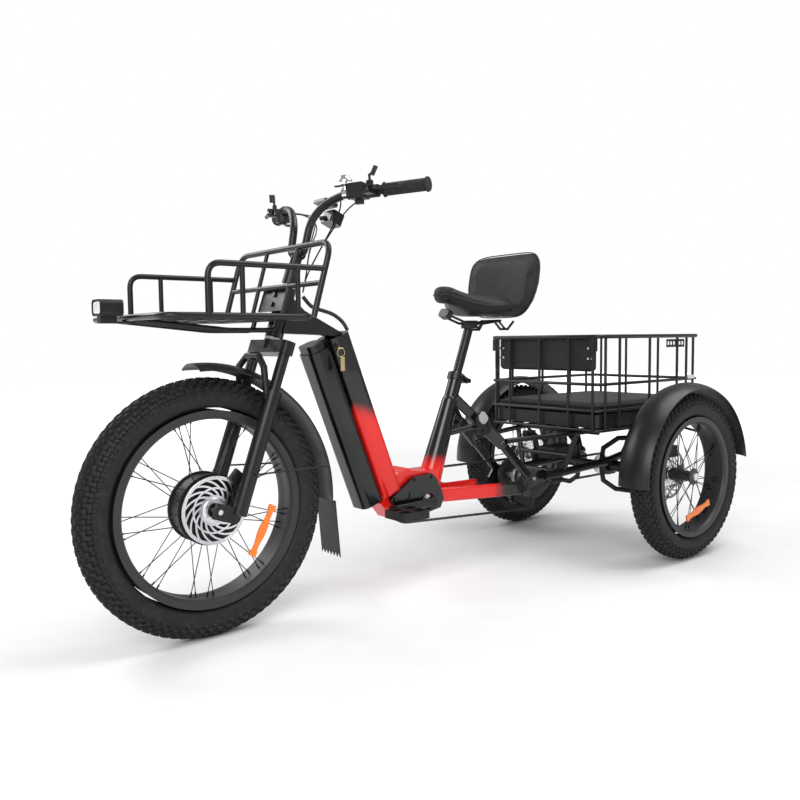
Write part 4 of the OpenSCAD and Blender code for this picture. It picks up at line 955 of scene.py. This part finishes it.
@dataclass
class Basket:
    """Rear basket of bent rod with its latch and plates.

    Attributes:
        rail: radius of the top rail.
    """

    rail: float = 0.007

    def build(self) -> None:
        """Rails, uprights, floor rods and the two corner plates."""
        lo, hi = box_of("basket")
        x = -lo[0] - self.rail
        y0, y1 = lo[1] + self.rail, hi[1] - self.rail
        z0, z3 = lo[2] + 0.0055, hi[2] - self.rail
        s = Shape()
        for z, r in ((z0, .0055), (z0 + .068, .0055), (z0 + .16, .0055), (z3, self.rail)):
            loop = [[x, y0, z], [x, y1, z], [-x, y1, z], [-x, y0, z]]
            s.tube(bent(loop, 0.03, True), r, 14, True)
        span = y1 - y0
        lines = [[[f * x, y0, z0], [f * x, y0, z3]] for f in (-.9, -.62, -.045, .48, .9)]
        lines += [[[f * x, y1, z0], [f * x, y1, z3]] for f in (-.8, -.3, .3, .8)]
        lines += [[[m * x, y0 + f * span, z0], [m * x, y0 + f * span, z3]]
                  for m in (-1, 1) for f in (.06, .19, .48, .765, .94)]
        lines += [[[f * x, y0, z0], [f * x, y1, z0]] for f in (-.66, -.33, 0, .33, .66)]
        lines += [[[-x, y0 + f * span, z0], [x, y0 + f * span, z0]] for f in (.25, .5, .75)]
        for line in lines:
            s.tube(np.array(line), 0.005, 10)
        s.piece("basket_rods", Stock.SATIN, "root", ("basket",))
        plate = Shape()
        for m in (-1, 1):
            plate.block((m * (x - .024) - .017, y0 - .002, z3 - .05),
                        (m * (x - .024) + .017, y0 + .002, z3 - .006))
        start, foot, high, wide = y1 - .215, z3 - .042, .030, .118
        for low, tall in ((0, .009), (high - .009, .009)):
            plate.block((x - .001, start, foot + low), (x + .001, start + wide, foot + low + tall))
        for k in range(7):
            y = start + k * (wide - .008) / 6
            plate.block((x - .0008, y + .0003, foot + .001),
                        (x + .0008, y + .0077, foot + high - .001))
        plate.piece("basket_plates", Stock.SATIN, "root", bevel=0.001, smooth=False)
        latch = Shape()
        latch.block((x + .004, y1 - .083, z0 + .161), (x + .0095, y1 - .037, z0 + .175))
        latch.turned([(0, .0001), (0, .0045), (.0018, .004), (.0018, .0001)],
                     np.array([x + .0085, y1 - .06, z0 + .168]), 16)
        latch.piece("basket_latch", Stock.SILVER, "root", bevel=0.0008, smooth=False)


@dataclass
class Bars:
    """Handlebar tube, grips and the cables behind the head tube."""

    def build(self) -> None:
        """One bent tube, two ribbed grips and a bundle of cables."""
        lo = box_of("handlebar")[0]
        brake = PIVOTS["brake_left"]
        slope = math.atan(0.455)
        tilt = math.radians(1.2)
        along = np.array([math.cos(tilt) * math.cos(slope), math.cos(tilt) * math.sin(slope),
                          math.sin(tilt)])
        square = np.array([-math.sin(slope), math.cos(slope), 0])
        end = brake + along * 0.156 + square * 0.036
        inner = end - along * (0.225 / along[0])
        mid_z = lo[2] + 0.0111
        lean = math.tan(math.radians(19.5))
        axis_y = PIVOTS["steer"][1]
        level = PIVOTS["steer"][2]

        def on_axis(z: float, back: float) -> float:
            """Place behind the steering axis at a height."""
            return axis_y + (z - level) * lean + back

        y_mid = on_axis(mid_z, 0.0)
        up = inner[2]
        half = [[.018, y_mid, mid_z], [.036, y_mid, mid_z + .006],
                [.040, on_axis(up - .073, -.012), up - .073],
                [.060, on_axis(up - .041, -.013), up - .041],
                [.095, on_axis(up - .015, -.008), up - .015], list(inner), list(end)]
        left = bent(half, 0.03)
        right = left * np.array([-1, 1, 1])
        Shape().tube(np.concatenate([right[::-1], left]), 0.01105, 24).piece(
            "bar_tube", Stock.SATIN, "steering", ("handlebar",))
        t = np.linspace(0, 1, 130)
        ribs = Shape()
        for m in (1, -1):
            out = end + along * 0.004
            start = end - along * 0.125
            p = (start + (out - start) * t[:, None]) * np.array([m, 1, 1])
            d = along * np.array([m, 1, 1])
            n = np.cross(d, [0, 0, 1.0])
            n /= np.linalg.norm(n)
            b = np.cross(d, n)
            a = np.linspace(0, 2 * np.pi, 36, endpoint=False)
            r = .0158 + .0011 * (np.sin(t * 2 * np.pi * 22) > 0) + .003 * ((t > .955) | (t < .02))
            ring = np.cos(a)[None, :, None] * n + np.sin(a)[None, :, None] * b
            ribs.grid(p[:, None] + r[:, None, None] * ring, False, True, True)
        ribs.piece("grip_sleeves", Stock.GRIP, "steering", ("grips",))
        self.make_cables()

    def make_cables(self) -> None:
        """Spiral-wrapped loom behind the head tube and the sheaths that feed it.

        The loom's radius swells and shrinks with the sine of its length over 4 mm, as a
        wrap's turns do. Each sheath runs from a control to the loom's top.
        """
        lo, hi = box_of("cable_loop")
        start = np.array([lo[0] + .0065, lo[1] + .0045, hi[2] - .0055])
        steps = np.array([(0, 0, 0), (2, 26, -29), (6, 58, -37), (10, 94, -47), (14, 124, -69),
                          (16, 138, -93)]) / 1000
        path = bent((start + steps).tolist(), 0.02, steps=14)
        run = np.concatenate([[0], np.cumsum(np.linalg.norm(np.diff(path, axis=0), axis=1))])
        even = np.linspace(0, run[-1], 240)
        line = np.stack([np.interp(even, run, path[:, k]) for k in range(3)], -1)
        wrap = 0.0054 + 0.0007 * np.sin(even * 2 * np.pi / 0.006)
        Shape().tube(line, wrap, 14).piece("cable_loom", Stock.CABLE, "root", ("cable_loop",))
        sheaths = Shape()
        for k, (node, drop, out) in enumerate((("brake_lever_left", .03, .020), ("bell", .05, .028),
                                               ("brake_lever_right", .03, .024),
                                               ("shifter_pod", .045, .032))):
            low, high = box_of(node)
            side = 1 if low[0] + high[0] > 0 else -1
            x = (low[0] if side > 0 else high[0]) + side * 0.004
            begin = np.array([x, (low[1] + high[1]) / 2 + .004, (low[2] + high[2]) / 2])
            finish = start + np.array([-.002 * k, .001 * k, .012])
            sheaths.tube(bent([begin, begin + [-side * .05, out, -.004],
                               [side * .075, begin[1] + out + .01, begin[2] - drop],
                               [side * .03 + .02, finish[1] + .05, finish[2] + .12],
                               finish + [0, .012, .045], finish], 0.05, steps=12), 0.0021, 8)
        obj = sheaths.piece("cable_sheaths", Stock.CABLE, None)
        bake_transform(obj)


# ---------------------------------------------------------------- seat and cushions

@dataclass
class Saddle:
    """Broad sprung saddle and its backrest."""

    def build(self) -> None:
        """Saddle, then backrest."""
        self.make_saddle()
        self.make_backrest()

    def make_saddle(self) -> None:
        """Lofted pad: nose to tail s, round the section q.

        The half width is 30 mm at the nose and swells by a smooth step to its full width at
        seven tenths of the length. The nose kicks up, the tail is deep, and the top droops
        towards its sides. Each section is a squared ellipse, and both ends close on a quarter
        circle.
        """
        lo, hi = box_of("saddle")
        s = np.linspace(0, 1, 72)[:, None]
        q = np.linspace(0, 2 * np.pi, 72, endpoint=False)[None]

        def smooth(a: float, b: float) -> np.ndarray:
            """Smooth step along the saddle."""
            t = np.clip((s - a) / (b - a), 0, 1)
            return t * t * (3 - 2 * t)

        swell = smooth(0.14, 0.72)
        half = 0.030 + (hi[0] - 0.030 - 0.003) * swell
        close = np.sqrt(np.clip(1 - (1 - np.minimum(s / 0.10, 1)) ** 2, 0, 1)) \
            * np.sqrt(np.clip(1 - np.clip((s - 0.84) / 0.16, 0, 1) ** 2.4, 0, 1))
        top = hi[2] - 0.004 - 0.030 * smooth(0.05, 0.5) + 0.004 * smooth(0.6, 0.9)
        foot = hi[2] - 0.058 - (hi[2] - lo[2] - 0.062) * smooth(0.12, 0.62)
        rise, thick = (top + foot) / 2, (top - foot) / 2
        c, d = np.cos(q), np.sin(q)
        droop = 0.016 * swell * np.abs(c) ** 2 * (d > 0) + 0.008 * swell * (d > 0) \
            * (1 - np.abs(c)) ** 3
        z = rise + close * (thick * power(d, 0.62) - droop)
        x = half * close * power(c, 0.72)
        y = lo[1] + 0.002 + s * (hi[1] - lo[1] - 0.004) + 0 * q
        obj = Shape().grid(np.stack([x, y, z], -1), False, True, True).piece(
            "saddle_pad", Stock.VINYL, "seat", ("saddle",))
        inflate(obj, 0.004, 2.0)
        rim = np.stack([half * close, lo[1] + 0.002 + s * (hi[1] - lo[1] - 0.004),
                        rise - 0.004], -1)[2:-1, 0]
        loop = np.concatenate([rim, (rim * np.array([-1, 1, 1]))[::-1]])
        Shape().tube(loop, 0.0022, 8, True).piece("saddle_piping", Stock.SEAM, "seat")

    def make_backrest(self) -> None:
        """Rounded pad, narrower at the foot, curved round the rider and leaning back."""
        lo, hi = box_of("backrest")
        a, b = hi[0] - 0.001, (hi[2] - lo[2]) / 2
        mid = (lo + hi) / 2
        g = pad((a, b, 0.0185), 0.42, 0.62, 34, 120)
        x, z, y = g[..., 0], g[..., 1], g[..., 2]
        taper = 1 - 0.22 * np.clip(-z / b, 0, 1) ** 1.5
        bow = 0.018 * (x / a) ** 2
        place = np.stack([x * taper, mid[1] - 0.004 + y + z * 0.17 - bow, mid[2] + z], -1)
        obj = Shape().grid(place, False, True).piece("backrest_pad", Stock.VINYL, "seat",
                                                     ("backrest",))
        inflate(obj, 0.004, 2.0)
        q = np.linspace(0, 2 * np.pi, 120, endpoint=False)
        px, pz = a * power(np.cos(q), 0.42), b * power(np.sin(q), 0.42)
        tp = 1 - 0.22 * np.clip(-pz / b, 0, 1) ** 1.5
        edge = np.stack([px * tp, mid[1] - 0.004 + pz * 0.17 - 0.018 * (px / a) ** 2,
                         mid[2] + pz], -1)
        Shape().tube(edge, 0.002, 8, True).piece("backrest_piping", Stock.SEAM, "seat")


@dataclass
class Cushions:
    """Seat cushion on the basket's floor and the pad against its front."""

    def build(self) -> None:
        """Boxy crowned pads with piping and the back pad's bolts."""
        hi = box_of("basket_cushions")[1]
        base_lo, base_hi = box_of("cushion_base")
        half = np.array([hi[0] - 0.004, (base_hi[1] - base_lo[1]) / 2 - 0.004, 0.0175])
        centre = np.array([0, (base_lo[1] + base_hi[1]) / 2, base_hi[2] + 0.0186])
        g = pad(tuple(half), 0.13, 0.36, 30, 160) + centre
        obj = Shape().grid(g, False, True).piece("seat_cushion", Stock.VINYL, "root",
                                                 ("basket_cushions",))
        inflate(obj, 0.006, 3.0)
        q = np.linspace(0, 2 * np.pi, 160, endpoint=False)
        edge = centre + np.stack([half[0] * power(np.cos(q), .13), half[1] * power(np.sin(q), .13),
                                  0 * q + 0.010], -1)
        Shape().tube(edge, 0.0024, 8, True).piece("cushion_piping", Stock.SEAM, "root")
        bx, by, bz = 0.228, 0.0105, 0.066
        mid = np.array([0, box_of("basket")[0][1] + 0.028, hi[2] - bz - 0.0005])
        g = pad((bx, bz, by), 0.16, 0.5, 26, 140)
        place = mid + np.stack([g[..., 0], g[..., 2], g[..., 1]], -1)
        obj = Shape().grid(place, False, True).piece("back_cushion", Stock.VINYL, "root")
        inflate(obj, 0.003, 2.0)
        bolts = Shape()
        for m in (-1, 1):
            for dz in (-.018, .018):
                for dx in (-.008, .008):
                    c = mid + np.array([m * (bx - .02) + dx, -by - .0005, dz])
                    bolts.block(tuple(c - [.0035, .0012, .0035]), tuple(c + [.0035, .0012, .0035]))
        bolts.piece("back_cushion_bolts", Stock.SILVER, "root", bevel=0.0008, smooth=False)


# ---------------------------------------------------------------- drive

@dataclass
class Chain:
    """Roller chain on a closed line: two plates to a link and a roller between them.

    Attributes:
        name: the piece's name.
        x: middle of the chain across the machine.
        line: closed line of (y, z) points.
        pitch: length of a link.
    """

    name: str
    x: float
    line: np.ndarray
    pitch: float = 0.0127

    def build(self, replaces: tuple = ()) -> None:
        """Spreads whole links evenly over the line's length and turns each to its tangent."""
        p = np.concatenate([self.line, self.line[:1]])
        seg = np.linalg.norm(np.diff(p, axis=0), axis=1)
        at = np.concatenate([[0], np.cumsum(seg)])
        n = max(2, round(at[-1] / self.pitch / 2) * 2)
        t = np.linspace(0, at[-1], n, endpoint=False)
        c = np.stack([np.interp(t, at, p[:, k]) for k in (0, 1)], -1)
        d = np.roll(c, -1, 0) - c
        mid, length = c + d / 2, np.linalg.norm(d, axis=1)
        u = d / length[:, None]
        v = np.stack([-u[:, 1], u[:, 0]], -1)
        corners = np.array([(-.56, -.0026), (-.25, -.0040), (0, -.0030), (.25, -.0040),
                            (.56, -.0026), (.56, .0026), (.25, .0040), (0, .0030),
                            (-.25, .0040), (-.56, .0026)])
        yz = mid[:, None] + u[:, None] * corners[None, :, :1] * length[:, None, None] \
            + v[:, None] * corners[None, :, 1:]
        shape = Shape()
        for k in range(n):
            off = 0.0031 if k % 2 else 0.0020
            for m in (-1, 1):
                rows = [np.concatenate([np.full((10, 1), self.x + m * (off + e)), yz[k]], 1)
                        for e in (0, .0008)]
                shape.grid(np.stack(rows), False, True, True)
            q = c[k]
            shape.tube(np.array([[self.x - .003, *q], [self.x + .003, *q]]), 0.0034, 8)
        shape.piece(self.name, Stock.CHAIN, "root", replaces, smooth=False)


def belt(wheels: list[tuple]) -> np.ndarray:
    """Line that a chain takes round its sprockets, as (y, z) points.

    Between two wheels the run leaves at the angle of their line of centres plus the angle
    whose cosine is the difference of their signed radii over their distance.

    Args:
        wheels: (y, z, signed radius) of each wheel in order.

    Returns:
        The closed line's points.
    """
    def leave(a: tuple, b: tuple) -> float:
        """Angle of the normal to the run from one wheel to the next."""
        dy, dz = b[0] - a[0], b[1] - a[1]
        return math.atan2(dz, dy) + math.acos((b[2] - a[2]) / math.hypot(dy, dz))

    rows, n = [], len(wheels)
    for i, w in enumerate(wheels):
        out, into = leave(w, wheels[(i + 1) % n]), leave(wheels[i - 1], w)
        turn = (out - into) % (2 * math.pi)
        k = np.linspace(0, 1, 26)
        a = into + math.pi + turn * k if w[2] > 0 else into - (2 * math.pi - turn) * k
        rows.append(np.stack([w[0] + abs(w[2]) * np.cos(a), w[1] + abs(w[2]) * np.sin(a)], -1))
    return np.concatenate(rows)


@dataclass
class Drive:
    """Both chains of the drive.

    Attributes:
        ring: pitch radius of the chainring.
        cog: pitch radius of the cassette's chosen cog.
        second: pitch radius of the jack shaft's and the axle's sprockets.
        jockey: pitch radius of the jockey wheels.
    """

    ring: float = 0.08497
    cog: float = 0.05671
    second: float = 0.0406
    jockey: float = 0.02254

    def build(self) -> None:
        """Places the chains on the axes of their sprockets."""
        crank, jack, guide = (PIVOTS[k][1:] for k in ("crank_spin", "jack_spin", "cage_swing"))
        rear = PIVOTS["rear_right_spin"][1:]
        line = belt([(*crank, self.ring), (*(guide + [.08, -.03]), self.jockey),
                     (*guide, -self.jockey), (*jack, self.cog)])
        Chain("chain_long", -0.050, line).build(("chains",))
        Chain("chain_short", 0.024, belt([(*jack, self.second), (*rear, self.second)])).build()


# ---------------------------------------------------------------- CAD pieces and the studio

@dataclass
class Bodywork:
    """Finishes of the CAD nodes that are shown as they are."""

    finishes: dict = field(default_factory=lambda: {
        Stock.FRAME: ("main_frame",),
        Stock.SATIN: ("rear_cradle", "axle_housings", "rack_mount", "fork_crown", "fork_lowers",
                      "stem", "rear_fenders", "front_fender", "crankset", "brake_lever_left",
                      "brake_lever_right", "qr_lever", "seat_clamp", "seat_post"),
        Stock.GLOSS: ("battery", "side_cover", "display"),
        Stock.PLASTIC: ("headlight", "controller_box", "lever_clamps", "control_box",
                        "shifter_pod", "cushion_base", "pedal_left", "pedal_right",
                        "front_caliper", "rear_calipers", "derailleur", "park_catch_left",
                        "park_catch_right", "shift_lever", "throttle_lever", "bell_lever",
                        "derailleur_cage"),
        Stock.SILVER: ("bearings", "jack_sprocket"),
        Stock.CHAIN: ("cassette",),
        Stock.PLATE: ("stay_plates",),
        Stock.CHROME: ("bell",),
        Stock.RED: ("horn_button",),
        Stock.BRASS: ("key_ring",),
    })

    def build(self) -> None:
        """Gives every shown node its finish."""
        for stock, nodes in self.finishes.items():
            for name in nodes:
                mesh = frame["nodes"][name].data
                mesh.materials.clear()
                mesh.materials.append(stock.value.build())
        lo, hi = box_of("headlight")
        g = pad((0.0255, 0.0145, 0.003), 0.35, 0.8, 14, 48)
        lens = np.stack([g[..., 0], g[..., 2], g[..., 1]], -1) + [0, lo[1] + 0.0026, hi[2] - 0.02]
        Shape().grid(lens, False, True).piece("lamp_lens", Stock.LENS, "root")


@dataclass
class Studio:
    """Floor, lights and camera.

    Attributes:
        eye: the camera's places along X and Z.
        azimuth: the camera's angle round the machine from its front, in degrees.
        elevation: the camera's angle above level.
        roll: the camera's turn about its own axis.
        lens: focal length in millimetres.
        dome: strength of the light from all round.
        ahead: how far in front of the front axle the camera stands.
    """

    eye: tuple = (1.9695, 0.7829)
    azimuth: float = 51.18
    elevation: float = 4.29
    roll: float = -0.642
    lens: float = 36.45
    dome: float = 0.42
    ahead: float = 0.9237

    def build(self) -> None:
        """Pale floor, three soft lights and the camera."""
        front = PIVOTS["front_wheel_spin"][1]
        floor = bpy.data.meshes.new("floor")
        floor.from_pydata([(-14, -14, 0), (14, -14, 0), (14, 14, 0), (-14, 14, 0)], [],
                          [(0, 1, 2, 3)])
        obj = bpy.data.objects.new("floor", floor)
        bpy.context.scene.collection.objects.link(obj)
        floor.materials.append(StudioFloor("studio_floor", (0.88, 0.88, 0.89), 0.6, grain=3.0,
                                           depth=0.0001, cloud=0.01).build())
        world = bpy.context.scene.world or bpy.data.worlds.new("studio")
        bpy.context.scene.world = world
        world.use_nodes = True
        tree = world.node_tree
        back = tree.nodes["Background"]
        back.inputs[0].default_value = (1.0, 1.0, 1.0, 1.0)
        rays = tree.nodes.new("ShaderNodeLightPath")
        level = tree.nodes.new("ShaderNodeMapRange")
        level.inputs[3].default_value, level.inputs[4].default_value = self.dome, 1.0
        tree.links.new(rays.outputs["Is Camera Ray"], level.inputs[0])
        tree.links.new(level.outputs[0], back.inputs[1])
        bpy.context.scene.view_settings.view_transform = "Standard"
        for number, (place, size, watts) in enumerate((((2.8, -3.2, 2.6), 2.4, 110),
                                                       ((-3, -1.5, 3), 2.5, 80),
                                                       ((1.0, 1.5, 4.0), 3.0, 120))):
            data = bpy.data.lights.new(f"softbox_{number}", "AREA")
            data.size, data.energy = size, watts
            lamp = bpy.data.objects.new(f"softbox_{number}", data)
            lamp.location = place
            lamp.rotation_euler = (Vector((0, 0, 0.5)) - Vector(place)).to_track_quat(
                "-Z", "Y").to_euler()
            bpy.context.scene.collection.objects.link(lamp)
        a, e, r = (math.radians(v) for v in (self.azimuth, self.elevation, self.roll))
        behind = Vector((math.sin(a) * math.cos(e), -math.cos(a) * math.cos(e), math.sin(e)))
        right = Vector((math.cos(a), math.sin(a), 0))
        up = behind.cross(right)
        right, up = right * math.cos(r) + up * math.sin(r), up * math.cos(r) - right * math.sin(r)
        data = bpy.data.cameras.new("camera")
        data.lens, data.sensor_width, data.clip_end = self.lens, 36.0, 60.0
        camera = bpy.data.objects.new("camera", data)
        camera.matrix_world = Matrix((
            (right.x, up.x, behind.x, self.eye[0]), (right.y, up.y, behind.y, front - self.ahead),
            (right.z, up.z, behind.z, self.eye[1]), (0, 0, 0, 1)))
        bpy.context.scene.collection.objects.link(camera)
        bpy.context.scene.camera = camera


def main() -> None:
    """Builds every sub-assembly in order."""
    logging.basicConfig(level=logging.INFO)
    Studio().build()
    Bodywork().build()
    Wheel("front", "front_tyre", "front_rim", "front_wheel", 1, 0.0945, 0.170, 62).build()
    for key, side in (("left", 1), ("right", -1)):
        Wheel(key, f"rear_tyre_{key}", f"rear_rim_{key}", f"rear_wheel_{key}", side, 0.0285,
              0.130, 16).build()
        RearHub(key, side).build()
    FrontHub().build()
    for part in (Rack(), Basket(), Bars(), Saddle(), Cushions(), Drive()):
        part.build()


if __name__ == "__main__":
    main()
